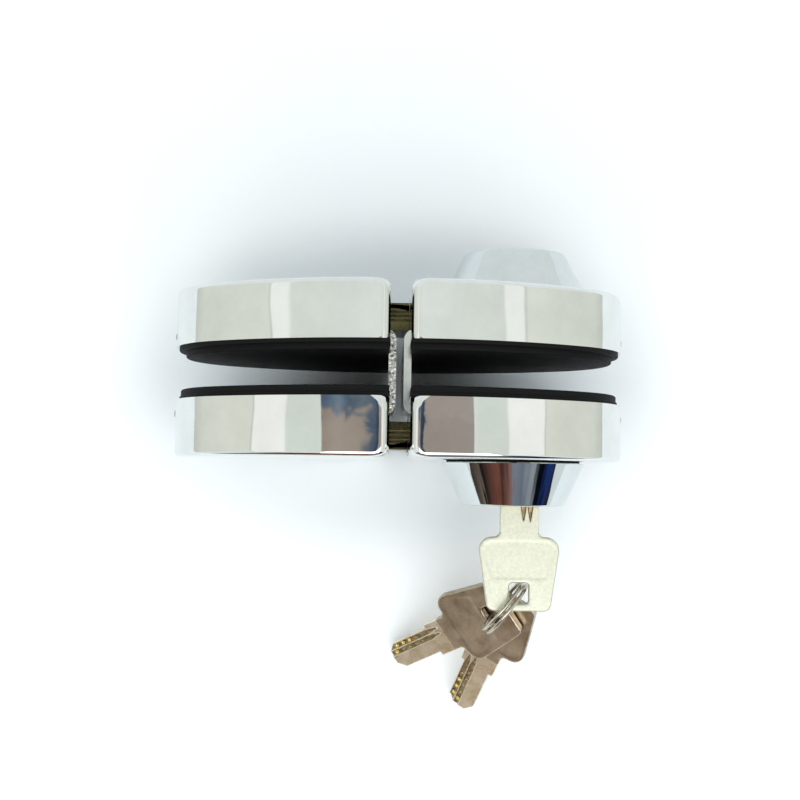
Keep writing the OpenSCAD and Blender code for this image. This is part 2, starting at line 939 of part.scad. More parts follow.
module split_ring() {
  last = ring_rings * wire_sides;
  color(bright)
    polyhedron(
      points = [for (i = [0 : ring_rings]) each wire_skin(i)],
      faces = [
        for (i = [0 : ring_rings - 1]) each skin_faces(i),
        for (k = [1 : wire_sides - 2]) [0, k, k + 1],
        for (k = [1 : wire_sides - 2]) [last, last + k + 1, last + k]
      ]
    );
}

// Nodes of the lock half
module lock_spine() { spine(); }
module lock_front_cover() { front_side() lock_cover(); }
module lock_back_cover() { back_side() lock_cover(); }
module lock_front_gasket() { front_side() gasket(); }
module lock_back_gasket() { back_side() gasket(); }
module lock_front_plate() { front_side() pressure_plate(); }
module lock_back_plate() { back_side() pressure_plate(); }
module lock_clamp_screws() {
  front_side() clamp_screw_set();
  back_side() clamp_screw_set();
}
module lock_cover_screws() {
  front_side() cover_screw();
  back_side() cover_screw();
}
module front_bolt_case() { front_side() bolt_case(); }
module back_bolt_case() { back_side() bolt_case(); }
module bolt_case_screws() {
  front_side() case_screw_pair();
  back_side() case_screw_pair();
}
module front_rosette() { front_side() rosette(); }
module back_rosette() { back_side() rosette(); }
module front_cylinder() { front_side() cylinder_body(); }
module back_cylinder() { back_side() cylinder_body(); }
module front_cylinder_nut() { front_side() cylinder_nut(); }
module back_cylinder_nut() { back_side() cylinder_nut(); }
module front_plug() { front_side() plug(); }
module back_plug() { back_side() plug(); }
module front_key_pins() { front_side() key_pins(); }
module back_key_pins() { back_side() key_pins(); }
module front_driver_pins() { front_side() driver_pins(); }
module back_driver_pins() { back_side() driver_pins(); }
module front_pin_springs() { front_side() pin_springs(); }
module back_pin_springs() { back_side() pin_springs(); }
module front_pin_stops() { front_side() pin_stops(); }
module back_pin_stops() { back_side() pin_stops(); }
module front_cam() { front_side() cam(); }
module back_cam() { back_side() cam(); }
module front_drive_pin() { front_side() drive_pin(); }
module back_drive_pin() { back_side() drive_pin(); }
module front_cam_screws() { front_side() cam_screws(); }
module back_cam_screws() { back_side() cam_screws(); }
module front_bolt() { front_side() bolt(); }
module back_bolt() { back_side() bolt(); }

// Nodes of the keeper half
module keeper_spine() { keeper_side() spine(); }
module keeper_front_cover() { keeper_side() front_side() keeper_cover(); }
module keeper_back_cover() { keeper_side() back_side() keeper_cover(); }
module keeper_front_gasket() { keeper_side() front_side() gasket(); }
module keeper_back_gasket() { keeper_side() back_side() gasket(); }
module keeper_front_plate() { keeper_side() front_side() pressure_plate(); }
module keeper_back_plate() { keeper_side() back_side() pressure_plate(); }
module keeper_clamp_screws() {
  keeper_side() {
    front_side() clamp_screw_set();
    back_side() clamp_screw_set();
  }
}
module keeper_cover_screws() {
  keeper_side() {
    front_side() cover_screw();
    back_side() cover_screw();
  }
}
module front_strike_box() { keeper_side() front_side() strike_box(); }
module back_strike_box() { keeper_side() back_side() strike_box(); }
module strike_screws() {
  keeper_side() {
    front_side() case_screw_pair();
    back_side() case_screw_pair();
  }
}

// Nodes of the keys
module key_in_lock() { translate([plug_x, key_y, 0]) key(); }
module key_ring() {
  translate(ring_mid)
    rotate([0, 0, ring_heading])
      rotate([90 + ring_lean, 0, 0])
        split_ring();
}
module spare_key_left() { hung_key(left_seat, left_turn, left_dip, left_roll); }
module spare_key_right() { hung_key(right_seat, right_turn, right_dip, right_roll); }

lock_spine();
lock_front_cover();
lock_back_cover();
lock_front_gasket();
lock_back_gasket();
lock_front_plate();
lock_back_plate();
lock_clamp_screws();
lock_cover_screws();
front_bolt_case();
back_bolt_case();
bolt_case_screws();
front_rosette();
back_rosette();
front_cylinder();
back_cylinder();
front_cylinder_nut();
back_cylinder_nut();
front_plug();
back_plug();
front_key_pins();
back_key_pins();
front_driver_pins();
back_driver_pins();
front_pin_springs();
back_pin_springs();
front_pin_stops();
back_pin_stops();
front_cam();
back_cam();
front_drive_pin();
back_drive_pin();
front_cam_screws();
back_cam_screws();
front_bolt();
back_bolt();
keeper_spine();
keeper_front_cover();
keeper_back_cover();
keeper_front_gasket();
keeper_back_gasket();
keeper_front_plate();
keeper_back_plate();
keeper_clamp_screws();
keeper_cover_screws();
front_strike_box();
back_strike_box();
strike_screws();
key_in_lock();
key_ring();
spare_key_left();
spare_key_right();
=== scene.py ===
"""Looks of a clamp-on centre lock for a pair of frameless glass doors, with its keys on a split ring."""
import json
import math

import bmesh
import bpy
from mathutils import Matrix, Vector


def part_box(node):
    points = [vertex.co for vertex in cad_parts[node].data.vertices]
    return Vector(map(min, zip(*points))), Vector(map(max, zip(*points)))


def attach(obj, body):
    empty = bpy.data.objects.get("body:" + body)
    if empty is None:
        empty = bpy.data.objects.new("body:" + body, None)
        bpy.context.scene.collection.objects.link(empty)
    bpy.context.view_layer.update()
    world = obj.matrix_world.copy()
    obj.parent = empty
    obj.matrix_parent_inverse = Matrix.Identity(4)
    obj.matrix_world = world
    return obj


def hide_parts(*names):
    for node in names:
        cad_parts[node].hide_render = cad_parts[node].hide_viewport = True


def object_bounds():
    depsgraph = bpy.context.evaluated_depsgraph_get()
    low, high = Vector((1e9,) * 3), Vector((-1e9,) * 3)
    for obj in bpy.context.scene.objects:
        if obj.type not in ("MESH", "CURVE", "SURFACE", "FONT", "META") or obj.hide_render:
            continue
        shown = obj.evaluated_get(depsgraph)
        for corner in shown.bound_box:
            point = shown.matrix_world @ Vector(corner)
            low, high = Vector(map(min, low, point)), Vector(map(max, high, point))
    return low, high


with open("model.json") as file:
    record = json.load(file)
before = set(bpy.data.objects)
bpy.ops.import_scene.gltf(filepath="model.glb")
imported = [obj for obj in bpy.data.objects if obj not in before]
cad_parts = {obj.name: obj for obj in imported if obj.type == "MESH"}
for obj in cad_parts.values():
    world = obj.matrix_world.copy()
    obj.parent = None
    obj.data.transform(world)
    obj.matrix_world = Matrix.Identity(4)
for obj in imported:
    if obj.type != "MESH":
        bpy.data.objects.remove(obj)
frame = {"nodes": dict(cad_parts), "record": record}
cad_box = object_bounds()
nodes = frame["nodes"]
MM = 0.001

# Sizes in millimetres that the frame's boxes don't give
# Covers: the round end, the edges, the wall, and how the corners by the gap swell
END_R = 32.0
RIM_ROUND = 1.5
GAP_ROUND = 2.5
COVER_WALL = 1.2
CORNER_ROUND = 3.0
CORNER_BLEND = 4.0
TIGHTEST_BEND = 0.4
TOP_SWELL = 3.5
LIP_SWELL = {"front": 1.6, "back": 0.3}
GAP_REACH = 0.6
# Openings in the covers: room round the spine, the bolt guide and the cylinder
SPINE_T = 1.6
SPINE_PLAY = 0.4
CASE_WINDOW_HALF = 11.5
CASE_PLAY = 0.2
PAST_WALL = 0.5
PAST_EDGE = 1.0
BORE_DEPTH = 3.0
BORE_PLAY = 0.2
# Pads
PAD_T = 1.8
PAD_SOFT = 0.3
PAD_LEDGE = 0.12
PAD_INSET = {"front": 1.5, "back": 2.9}
BASE_INSET = {"front": 1.1, "back": 0.8}
# Cones
ROSETTE_FACE_R = 15.7
ROSETTE_ROUND = 1.0
ROSETTE_SEAT_IN = 1.5
ROSETTE_GAP = 0.5
ROSETTE_PLAY = 0.05
ROSETTE_FOOT_EDGE = 0.3
ROSETTE_BORE_EDGE = 0.25
FOOT_SHADE_OVER = 0.05
# Split ring; its jog lies between two shares of a turn, and its lean and heading are in degrees
WIRE_D = 1.2
RING_D = 20.0
RING_GAP = 0.45
RING_TURNS = 1.92
RING_JOG = (0.93, 1.0)
RING_HEADING = -129.2
RING_LEAN = 2.0
# Keys: the blade and its grooves, the dimples and which of them are bare, the bow and its panel
KEY_T = 2.5
BLADE_LEN = 18.5
BLADE_PAST = 0.5
TRACK_X = (1.25, 3.35)
TRACK_W = 1.7
TRACK_DEPTH = 0.6
TRACK_RUN = 5.4
GROOVE_MARGIN = 0.1
GROOVE_UNDER = 0.25
DIMPLE_R = 0.8
DIMPLE_LOW_R = 0.08
DIMPLE_DEPTH = 0.4
DIMPLE_PROUD = 0.12
DIMPLE_SKIN = 0.06
DIMPLE_WELD = 0.005
DIMPLE_FIRST = 4.0
DIMPLE_PITCH = 3.0
DIMPLES_BARE = {0: (4,), 1: (1, 2, 3)}
PANEL_Y = (-22.6, -10.3)
PANEL_HALF_W = (8.8, 12.1)
PANEL_DEPTH = 0.25
PANEL_SHOWN = 0.07
PANEL_CATCH = 0.12
BOW_FROM = -7.4
BOW_PASSES = 24
HOLE_Y = -26.6
# Cover screws
COVER_SCREW_D = 2.5
SCREW_EDGE = 0.25
# Points of a solid closer than this are one
MERGE_WITHIN = 0.0005
# The table lies this far under the part
TABLE_DROP = 0.02

# Steps round the outlines
SIDE_STEPS = 56
END_STEPS = 44
EDGE_STEPS = 24
CORNER_STEPS = 8
BORE_SIDES = 96
CONE_SIDES = 160
CONE_EDGE_STEPS = 8
CUP_SIDES = 16
WIRE_SIDES = 14
WIRE_STEPS = 180
SCREW_SIDES = 32

# Angles in degrees: faces that count as one flat face, and edges that are eased
FLAT_WITHIN = 1
EASED_FROM = 40

# Half side of the table top and half sizes of the oval under the lock, in metres; how much a painted glow
# lifts the table towards white, and from where to where it rises, in halves of that oval. The glow is nil
# near the lock, so the shade there stays, and it lightens the soft shadow farther out
TABLE_HALF = 0.37
UNDER_LOCK = (0.069, 0.042)
TABLE_PAINTED_GLOW = 0.17
MIRRORED_PAINTED_GLOW = 0.25
PAINTED_GLOW_BETWEEN = (0.95, 1.6)

# Sockets of a Mix node that are for colours
MIX_A, MIX_B, MIX_RESULT = 6, 7, 2

# Sizes in millimetres that the frame gives
cover_low, cover_high = [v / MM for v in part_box("lock_front_cover")]
gap_x, cover_end = cover_low.x, cover_high.x
half_h = cover_high.z
cover_edge, cover_top = -cover_high.y, -cover_low.y
gasket_face = -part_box("lock_front_gasket")[1].y / MM
gasket_step = gasket_face + PAD_T
rosette_low, rosette_high = [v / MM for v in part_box("front_rosette")]
cylinder_x = (rosette_low.x + rosette_high.x) / 2
rosette_base_r = (rosette_high.x - rosette_low.x) / 2
cylinder_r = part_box("front_cylinder")[1].z / MM
face = -rosette_low.y
table_z = cad_box[0].z

end_in = cover_end - gap_x - END_R
side_r = (end_in ** 2 + half_h ** 2 - END_R ** 2) / (2 * (half_h - END_R))
arc_split = math.atan2(side_r - half_h, end_in)
TO_METRES = Matrix.Diagonal((MM, MM, MM, 1))


def linear(code):
    """Linear colour of an sRGB hex value."""
    parts = [int(code[i:i + 2], 16) / 255 for i in (1, 3, 5)]
    return [p / 12.92 if p <= 0.04045 else ((p + 0.055) / 1.055) ** 2.4 for p in parts] + [1.0]


# Nodes

def add(tree, kind, inputs=None, stops=None, **settings):
    """Adds a node with its settings, and sets or links its inputs."""
    node = tree.nodes.new(kind)
    for name, value in settings.items():
        setattr(node, name, value)
    for socket, value in (inputs or {}).items():
        if isinstance(value, bpy.types.NodeSocket):
            tree.links.new(value, node.inputs[socket])
        else:
            node.inputs[socket].default_value = value
    if stops:
        ramp = node.color_ramp
        while len(ramp.elements) < len(stops):
            ramp.elements.new(0.5)
        for element, (place, code) in zip(ramp.elements, stops):
            element.position = place
            element.color = linear(code)
    return node


def calc(tree, operation, *values):
    """Result of a sum on numbers or sockets."""
    return add(tree, "ShaderNodeMath", dict(enumerate(values)), operation=operation).outputs[0]


def ranged(tree, value, given, wanted=(0.0, 1.0), **settings):
    """A value carried over from one range to another, and held at its ends."""
    inputs = {
        "Value": value, "From Min": given[0], "From Max": given[1], "To Min": wanted[0], "To Max": wanted[1],
    }
    return add(tree, "ShaderNodeMapRange", inputs, **settings).outputs["Result"]


def tinted(tree, share, stops):
    """Colour at a share of a row of colours."""
    return add(tree, "ShaderNodeValToRGB", {"Fac": share}, stops).outputs["Color"]


def mixed(tree, share, first, second):
    """Two colours mixed by a share."""
    inputs = {"Factor": share, MIX_A: first, MIX_B: second}
    return add(tree, "ShaderNodeMix", inputs, data_type="RGBA").outputs[MIX_RESULT]


def per_mm(size):
    """Scale of a noise whose features are about this many millimetres across."""
    return 1 / (size * MM)


def place_on(tree, stretch=(1, 1, 1)):
    """Object coordinates, stretched for a pattern."""
    coords = add(tree, "ShaderNodeTexCoord")
    inputs = {"Vector": coords.outputs["Object"], "Scale": stretch}
    return add(tree, "ShaderNodeMapping", inputs).outputs["Vector"]


def noise(tree, size_mm, stretch=(1, 1, 1), **inputs):
    """Noise on object coordinates with features of about this size."""
    inputs.update(Vector=place_on(tree, stretch), Scale=per_mm(size_mm))
    return add(tree, "ShaderNodeTexNoise", inputs).outputs["Fac"]


# Materials

def new_material(name, **shader):
    """A material with its shader's constant sockets set; returns it with its tree and shader."""
    material = bpy.data.materials.new(name)
    material.use_nodes = True
    tree = material.node_tree
    surface = tree.nodes["Principled BSDF"]
    for socket, value in shader.items():
        surface.inputs[socket.replace("_", " ")].default_value = value
    return material, tree, surface


def surfaced(tree, surface, tint, rough, height, strength, relief_mm):
    """Links a colour, a roughness and a relief to a shader."""
    bump = add(
        tree, "ShaderNodeBump", {"Height": height, "Strength": strength, "Distance": relief_mm * MM},
    )
    tree.links.new(tint, surface.inputs["Base Color"])
    tree.links.new(rough, surface.inputs["Roughness"])
    tree.links.new(bump.outputs["Normal"], surface.inputs["Normal"])


def mirror_polished(name, dark, light):
    """Metal buffed to a mirror: faint waves of the forming and a thin buffing haze."""
    material, tree, surface = new_material(name, Metallic=1.0)
    waves = noise(tree, 24, (1, 0.8, 1), Detail=1.0, Roughness=0.35)
    haze = noise(tree, 11, Detail=5.0, Roughness=0.62)
    tint = tinted(tree, haze, [(0.3, dark), (0.7, light)])
    rough = ranged(tree, haze, (0.3, 0.75), (0.02, 0.06))
    surfaced(tree, surface, tint, rough, waves, strength=1.0, relief_mm=0.55)
    return material


def moulded_rubber_and_shade():
    """Black moulded rubber: matt, with a fine grain and a trace of dust; the same black also paints the shade
    in the gap under each cone's foot.
    """
    material, tree, surface = new_material("moulded_rubber_and_shade", Specular_IOR_Level=0.2)
    grain = noise(tree, 0.5, Detail=3.0)
    dust = noise(tree, 7, Detail=6.0, Roughness=0.7)
    tint = tinted(tree, dust, [(0.35, "#050506"), (0.62, "#0A0A0C"), (0.8, "#151517")])
    rough = ranged(tree, dust, (0.0, 1.0), (0.55, 0.85))
    surfaced(tree, surface, tint, rough, grain, strength=0.4, relief_mm=0.1)
    return material


def worked_metal(name, dark, light, rough, grain_mm, relief_mm, stretch=(1, 1, 1), spots_mm=6.0):
    """A metal with a grain that may run one way, and patches that are a little lighter or darker."""
    material, tree, surface = new_material(name, Metallic=1.0)
    grain = noise(tree, grain_mm, stretch, Detail=4.0, Roughness=0.6)
    patches = noise(tree, spots_mm, Detail=5.0, Roughness=0.65)
    tint = tinted(tree, patches, [(0.35, dark), (0.65, light)])
    roughness = ranged(tree, grain, (0.3, 0.7), rough)
    surfaced(tree, surface, tint, roughness, grain, strength=0.5, relief_mm=relief_mm)
    return material


# Pressed stainless sheet of the covers
POLISHED = mirror_polished("mirror_polished_steel", "#E4E6E4", "#EEF0EE")
# Chrome plate of the turned cones: a darker, bluer mirror
CHROME = mirror_polished("mirror_chrome_plate", "#D5DADA", "#DFE4E4")
RUBBER_AND_SHADE = moulded_rubber_and_shade()
# Bent stainless strip in its mill finish: smooth and bright
MILL_STEEL = worked_metal(
    "mill_finish_steel", "#DADBD7", "#EEEFEB", rough=(0.16, 0.26), grain_mm=2.0, relief_mm=0.004,
    stretch=(1, 1, 0.1), spots_mm=9.0,
)
# Pressure-cast zinc with a sandy skin; the black and white specks in its colour are painted shade and painted
# glints of the sand grains
CAST_ZINC = worked_metal(
    "cast_zinc", "#33332F", "#FBFAF4", rough=(0.16, 0.42), grain_mm=0.8, relief_mm=0.5, spots_mm=0.9,
)
# Zinc-plated screws and plates: grey, slightly cloudy
ZINC_PLATE = worked_metal(
    "zinc_plated_steel", "#7C7F80", "#9A9D9E", rough=(0.25, 0.4), grain_mm=0.8, relief_mm=0.02,
)
# Drawn brass gone dark olive with handling
AGED_BRASS = worked_metal(
    "drawn_aged_brass", "#4A4530", "#655F42", rough=(0.16, 0.28), grain_mm=0.7, relief_mm=0.004, spots_mm=5.0,
)
# Turned brass of the plugs and pins
TURNED_BRASS = worked_metal(
    "turned_brass", "#A98B49", "#C4A65E", rough=(0.2, 0.34), grain_mm=0.4, relief_mm=0.02,
    stretch=(1, 0.2, 1),
)
# Bead-blasted nickel plate of an unused key: pale cream and silky
NEW_NICKEL = worked_metal(
    "blasted_nickel", "#CFD0C0", "#DDDECF", rough=(0.42, 0.54), grain_mm=0.5, relief_mm=0.04, spots_mm=0.8,
)
# Tumbled nickel plate of the spare keys: warm grey, glossier, with broad clouds of wear
WORN_NICKEL = worked_metal(
    "tumbled_nickel", "#A89882", "#D0C4B2", rough=(0.26, 0.36), grain_mm=5.0, relief_mm=0.004, spots_mm=7.0,
)
# The same plate on the blades, rubbed bright by the keyway
RUBBED_NICKEL = worked_metal(
    "rubbed_nickel", "#DCD0B8", "#F6ECDA", rough=(0.24, 0.34), grain_mm=5.0, relief_mm=0.004, spots_mm=5.0,
)
# Hard-drawn spring wire, nickel plated
SPRING_WIRE = worked_metal(
    "plated_spring_wire", "#B3AC9B", "#D8D3C4", rough=(0.12, 0.22), grain_mm=0.9, relief_mm=0.006,
)
# Freshly milled brass where the cutter went through the plating
BARE_BRASS = worked_metal(
    "bare_milled_brass", "#F2CD62", "#FFF0A8", rough=(0.16, 0.3), grain_mm=0.5, relief_mm=0.004, spots_mm=0.8,
)
# Floor of a milled groove: duller than the plate, with the cutter's marks in it, and darker as painted shade
# of the groove
MILLED_GROOVE_AND_SHADE = worked_metal(
    "milled_groove_and_shade", "#77674F", "#C4B08A", rough=(0.24, 0.4), grain_mm=0.8, relief_mm=0.02, spots_mm=1.1,
)
# Chromed face of the cylinders
CHROMED_BODY = worked_metal(
    "satin_chrome", "#BFC1C0", "#D6D8D7", rough=(0.16, 0.28), grain_mm=0.7, relief_mm=0.01,
)


# Pieces

def link(mesh, name, material):
    """A new object at the origin, in metres, with smooth faces."""
    piece = bpy.data.objects.new(name, mesh)
    bpy.context.scene.collection.objects.link(piece)
    mesh.materials.clear()
    mesh.materials.append(material)
    for polygon in mesh.polygons:
        polygon.use_smooth = True
    return piece


def mesh_of(bm, name):
    """Turns millimetres to metres and makes a mesh whose faces point outwards."""
    bmesh.ops.scale(bm, vec=(MM, MM, MM), verts=bm.verts)
    bmesh.ops.recalc_face_normals(bm, faces=bm.faces)
    mesh = bpy.data.meshes.new(name)
    bm.to_mesh(mesh)
    bm.free()
    return mesh


def settle(piece):
    """Applies a piece's modifiers, so that a plain mesh is left."""
    graph = bpy.context.evaluated_depsgraph_get()
    mesh = bpy.data.meshes.new_from_object(
        piece.evaluated_get(graph), preserve_all_data_layers=True, depsgraph=graph,
    )
    old = piece.data
    piece.modifiers.clear()
    piece.data = mesh
    bpy.data.meshes.remove(old)


def keep_edges(piece, angle):
    """Smooth faces with edges left sharp above an angle, and flat faces kept flat by their size."""
    piece.data.set_sharp_from_angle(angle=math.radians(angle))
    even = piece.modifiers.new("even_shading", "WEIGHTED_NORMAL")
    even.keep_sharp = True
    even.weight = 90
    settle(piece)


def set_in(piece, place):
    """Moves a piece's mesh to its place, and turns a mirrored one right side out."""
    piece.data.transform(place)
    if place.determinant() < 0:
        piece.data.flip_normals()


def dress(piece, body, replaced):
    """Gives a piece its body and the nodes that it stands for."""
    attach(piece, body)
    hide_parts(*replaced)
    return piece


# Each half is drawn in a side frame: x across, y up, z out from the glass
FRONT = Matrix.Rotation(math.radians(90), 4, "X")
BACK = Matrix.Rotation(math.radians(180), 4, "X") @ FRONT
KEEPER = Matrix.Diagonal((-1, 1, 1, 1))


def oval_loop(inset, gap_inset, height, corner=0.0):
    """Closed outline of a half at one height: the curved side, then the straight edge along the gap."""
    x0 = gap_x - GAP_REACH + gap_inset
    side_mid = Vector((gap_x, half_h - side_r))
    radius = side_r - inset
    bend = max(corner - max(inset, gap_inset), TIGHTEST_BEND) if corner else 0.0
    bend_x = x0 + bend - gap_x
    bend_y = math.sqrt((radius - bend) ** 2 - bend_x ** 2)
    first = math.atan2(bend_y, bend_x)
    upper = []
    for i in range(CORNER_STEPS if corner else 0):
        a = math.pi + (first - math.pi) * i / CORNER_STEPS
        upper.append((x0 + bend + bend * math.cos(a), side_mid.y + bend_y + bend * math.sin(a)))
    for i in range(SIDE_STEPS + 1):
        a = first + (arc_split - first) * i / SIDE_STEPS
        upper.append((side_mid.x + radius * math.cos(a), side_mid.y + radius * math.sin(a)))
    tip = []
    for i in range(1, END_STEPS):
        a = arc_split * (1 - 2 * i / END_STEPS)
        tip.append((gap_x + end_in + (END_R - inset) * math.cos(a), (END_R - inset) * math.sin(a)))
    lower = [(x, -y) for x, y in reversed(upper)]
    top, low = upper[0][1], lower[-1][1]
    edge = [(x0, low + (top - low) * i / EDGE_STEPS) for i in range(1, EDGE_STEPS)]
    return [Vector((x, y, height)) for x, y in upper + tip + lower + edge]


def stack(bm, loops, closed=False):
    """Faces between outlines that have the same number of points; returns the rings of vertices."""
    rings = [[bm.verts.new(p) for p in loop] for loop in loops]
    following = rings[1:] + rings[:1] if closed else rings[1:]
    for a, b in zip(rings, following):
        for i in range(len(a)):
            j = (i + 1) % len(a)
            bm.faces.new((a[i], a[j], b[j], b[i]))
    return rings


def fillet(radius, depth):
    """How far a rounded edge has drawn in at a depth below its top."""
    if depth >= radius:
        return 0.0
    return radius - math.sqrt(max(radius ** 2 - (radius - depth) ** 2, 0.0))


def cutter(low, high):
    """A box in the side frame, to be cut away."""
    bm = bmesh.new()
    bmesh.ops.create_cube(bm, size=1.0)
    size, mid = high - low, (high + low) / 2
    bmesh.ops.transform(bm, matrix=Matrix.Translation(mid) @ Matrix.Diagonal((*size, 1)), verts=bm.verts)
    return bm


def round_cutter(x, low, high, radius):
    """A cylinder in the side frame, to be cut away."""
    bm = bmesh.new()
    bmesh.ops.create_cone(
        bm, cap_ends=True, segments=BORE_SIDES, radius1=radius, radius2=radius, depth=high - low,
        matrix=Matrix.Translation((x, 0, (low + high) / 2)),
    )
    return bm


def cut_away(piece, tools):
    """Cuts tools out of a piece, then removes them."""
    made = []
    for bm in tools:
        tool = bpy.data.objects.new("tool", mesh_of(bm, "tool"))
        bpy.context.scene.collection.objects.link(tool)
        cut = piece.modifiers.new("cut", "BOOLEAN")
        cut.object = tool
        cut.solver = "EXACT"
        made.append(tool)
    settle(piece)
    for tool in made:
        bpy.data.objects.remove(tool)


def cover_blank(name, lip_swell):
    """Pressed shell in the side frame, open towards the glass."""
    depths = [0.0] + [GAP_ROUND * (1 - math.cos(math.radians(a))) for a in range(6, 90, 7)] + [GAP_ROUND]
    depths += [GAP_ROUND + (CORNER_BLEND - GAP_ROUND) * i / 3 for i in (1, 2, 3)]
    lips = [CORNER_BLEND * (1 - math.cos(math.radians(a))) for a in range(0, 91, 15)]
    heights = [cover_edge + d for d in lips] + [cover_top - d for d in reversed(depths)]
    outer = []
    for h in heights:
        down, up = cover_top - h, h - cover_edge
        swell = TOP_SWELL * fillet(CORNER_BLEND, down) + lip_swell * fillet(CORNER_BLEND, up)
        corner = CORNER_ROUND + swell / CORNER_BLEND
        outer.append(oval_loop(fillet(RIM_ROUND, down), fillet(GAP_ROUND, down), h, corner))
    ceiling = cover_top - COVER_WALL
    inner = [oval_loop(COVER_WALL, COVER_WALL, h, CORNER_ROUND) for h in (ceiling, cover_edge)]
    bm = bmesh.new()
    outer_rings = stack(bm, outer)
    inner_rings = stack(bm, inner)
    bm.faces.new(outer_rings[-1])
    bm.faces.new(inner_rings[0])
    lip_out, lip_in = outer_rings[0], inner_rings[-1]
    for i in range(len(lip_out)):
        j = (i + 1) % len(lip_out)
        bm.faces.new((lip_out[i], lip_in[i], lip_in[j], lip_out[j]))
    return link(mesh_of(bm, name), name, POLISHED)


def make_cover(node, place, body, bored, lip_swell):
    """A cover, with the windows for the spine and the bolt guide, and the bore for the cylinder."""
    piece = cover_blank(node + "_shell", lip_swell)
    spine_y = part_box("lock_spine")[1].z / MM + SPINE_PLAY
    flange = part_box("lock_spine")[1].y / MM - SPINE_T
    case_y = CASE_WINDOW_HALF
    case_top = -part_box("front_bolt_case")[0].y / MM + CASE_PLAY
    wall = gap_x + COVER_WALL + PAST_WALL
    tools = [
        cutter(Vector((0, -spine_y, cover_edge - PAST_EDGE)), Vector((wall, spine_y, flange))),
        cutter(Vector((0, -case_y, cover_edge - PAST_WALL)), Vector((wall, case_y, case_top))),
    ]
    if bored:
        tools.append(
            round_cutter(cylinder_x, cover_top - BORE_DEPTH, cover_top + PAST_EDGE, cylinder_r + BORE_PLAY)
        )
    cut_away(piece, tools)
    set_in(piece, place)
    keep_edges(piece, angle=32)
    return dress(piece, body, [node])


def make_gasket(node, place, body, pad, base):
    """Stepped pad with softened edges."""
    soft, ledge = PAD_SOFT, PAD_LEDGE
    levels = [
        (pad + soft, ledge + soft, gasket_face), (pad, ledge, gasket_face + soft), (pad, ledge, gasket_step),
        (base + soft, 0, gasket_step), (base, 0, gasket_step + soft), (base, 0, cover_edge),
    ]
    bm = bmesh.new()
    rings = stack(bm, [oval_loop(*level) for level in levels])
    bm.faces.new(rings[0])
    bm.faces.new(rings[-1])
    piece = link(mesh_of(bm, node + "_pad"), node + "_pad", RUBBER_AND_SHADE)
    set_in(piece, place)
    keep_edges(piece, angle=50)
    return dress(piece, body, [node])


def make_rosette(node, place):
    """Turned cone round a cylinder, with a rounded face edge and black painted shade in the gap under its
    foot.
    """
    seat_r = rosette_base_r - ROSETTE_SEAT_IN
    foot = cover_top + ROSETTE_GAP
    slope = math.atan2(rosette_base_r - ROSETTE_FACE_R, face - foot)
    edge_r = ROSETTE_FACE_R - ROSETTE_ROUND * math.tan(math.radians(45) - slope / 2)
    edge_z = face - ROSETTE_ROUND
    bore = cylinder_r + ROSETTE_PLAY
    profile = [
        (bore, cover_top), (seat_r, cover_top), (seat_r, foot),
        (rosette_base_r - ROSETTE_FOOT_EDGE, foot), (rosette_base_r, foot + ROSETTE_FOOT_EDGE),
    ]
    for i in range(CONE_EDGE_STEPS + 1):
        a = slope + (math.pi / 2 - slope) * i / CONE_EDGE_STEPS
        profile.append((edge_r + ROSETTE_ROUND * math.cos(a), edge_z + ROSETTE_ROUND * math.sin(a)))
    profile += [(bore + ROSETTE_BORE_EDGE, face), (bore, face - ROSETTE_BORE_EDGE)]
    turns = [2 * math.pi * k / CONE_SIDES for k in range(CONE_SIDES)]
    loops = [[(cylinder_x + r * math.cos(a), r * math.sin(a), z) for a in turns] for r, z in profile]
    bm = bmesh.new()
    stack(bm, loops, closed=True)
    piece = link(mesh_of(bm, node + "_cone"), node + "_cone", CHROME)
    # The faces in the gap under the foot take the black rubber, as painted shade of that gap
    piece.data.materials.append(RUBBER_AND_SHADE)
    for polygon in piece.data.polygons:
        if polygon.center.z < (foot + FOOT_SHADE_OVER) * MM:
            polygon.material_index = 1
    set_in(piece, place)
    keep_edges(piece, angle=32)
    return dress(piece, "lock_half", [node])


def own_form(node, flattened):
    """A copy of a node's mesh with its points merged and, where asked, its flat faces joined."""
    mesh = nodes[node].data.copy()
    bm = bmesh.new()
    bm.from_mesh(mesh)
    bmesh.ops.remove_doubles(bm, verts=bm.verts, dist=MERGE_WITHIN * MM)
    if flattened:
        bmesh.ops.dissolve_limit(bm, angle_limit=math.radians(FLAT_WITHIN), verts=bm.verts, edges=bm.edges)
        bmesh.ops.recalc_face_normals(bm, faces=bm.faces)
    bm.to_mesh(mesh)
    bm.free()
    return mesh


def softened(node, material, voxel, passes, body):
    """A node's own form with its edges worn soft."""
    piece = link(own_form(node, flattened=False), node + "_worn", material)
    remesh = piece.modifiers.new("skin", "REMESH")
    remesh.mode = "VOXEL"
    remesh.voxel_size = voxel * MM
    remesh.use_smooth_shade = True
    ease = piece.modifiers.new("ease", "SMOOTH")
    ease.factor = 0.5
    ease.iterations = passes
    settle(piece)
    piece.data.materials.clear()
    piece.data.materials.append(material)
    return dress(piece, body, [node])


def eased(node, material, width, body):
    """A node's own form with flat faces kept and its edges eased."""
    piece = link(own_form(node, flattened=True), node + "_eased", material)
    ease = piece.modifiers.new("ease", "BEVEL")
    ease.width = width * MM
    ease.segments = 2
    ease.limit_method = "ANGLE"
    ease.angle_limit = math.radians(EASED_FROM)
    ease.use_clamp_overlap = True
    settle(piece)
    keep_edges(piece, angle=EASED_FROM)
    return dress(piece, body, [node])


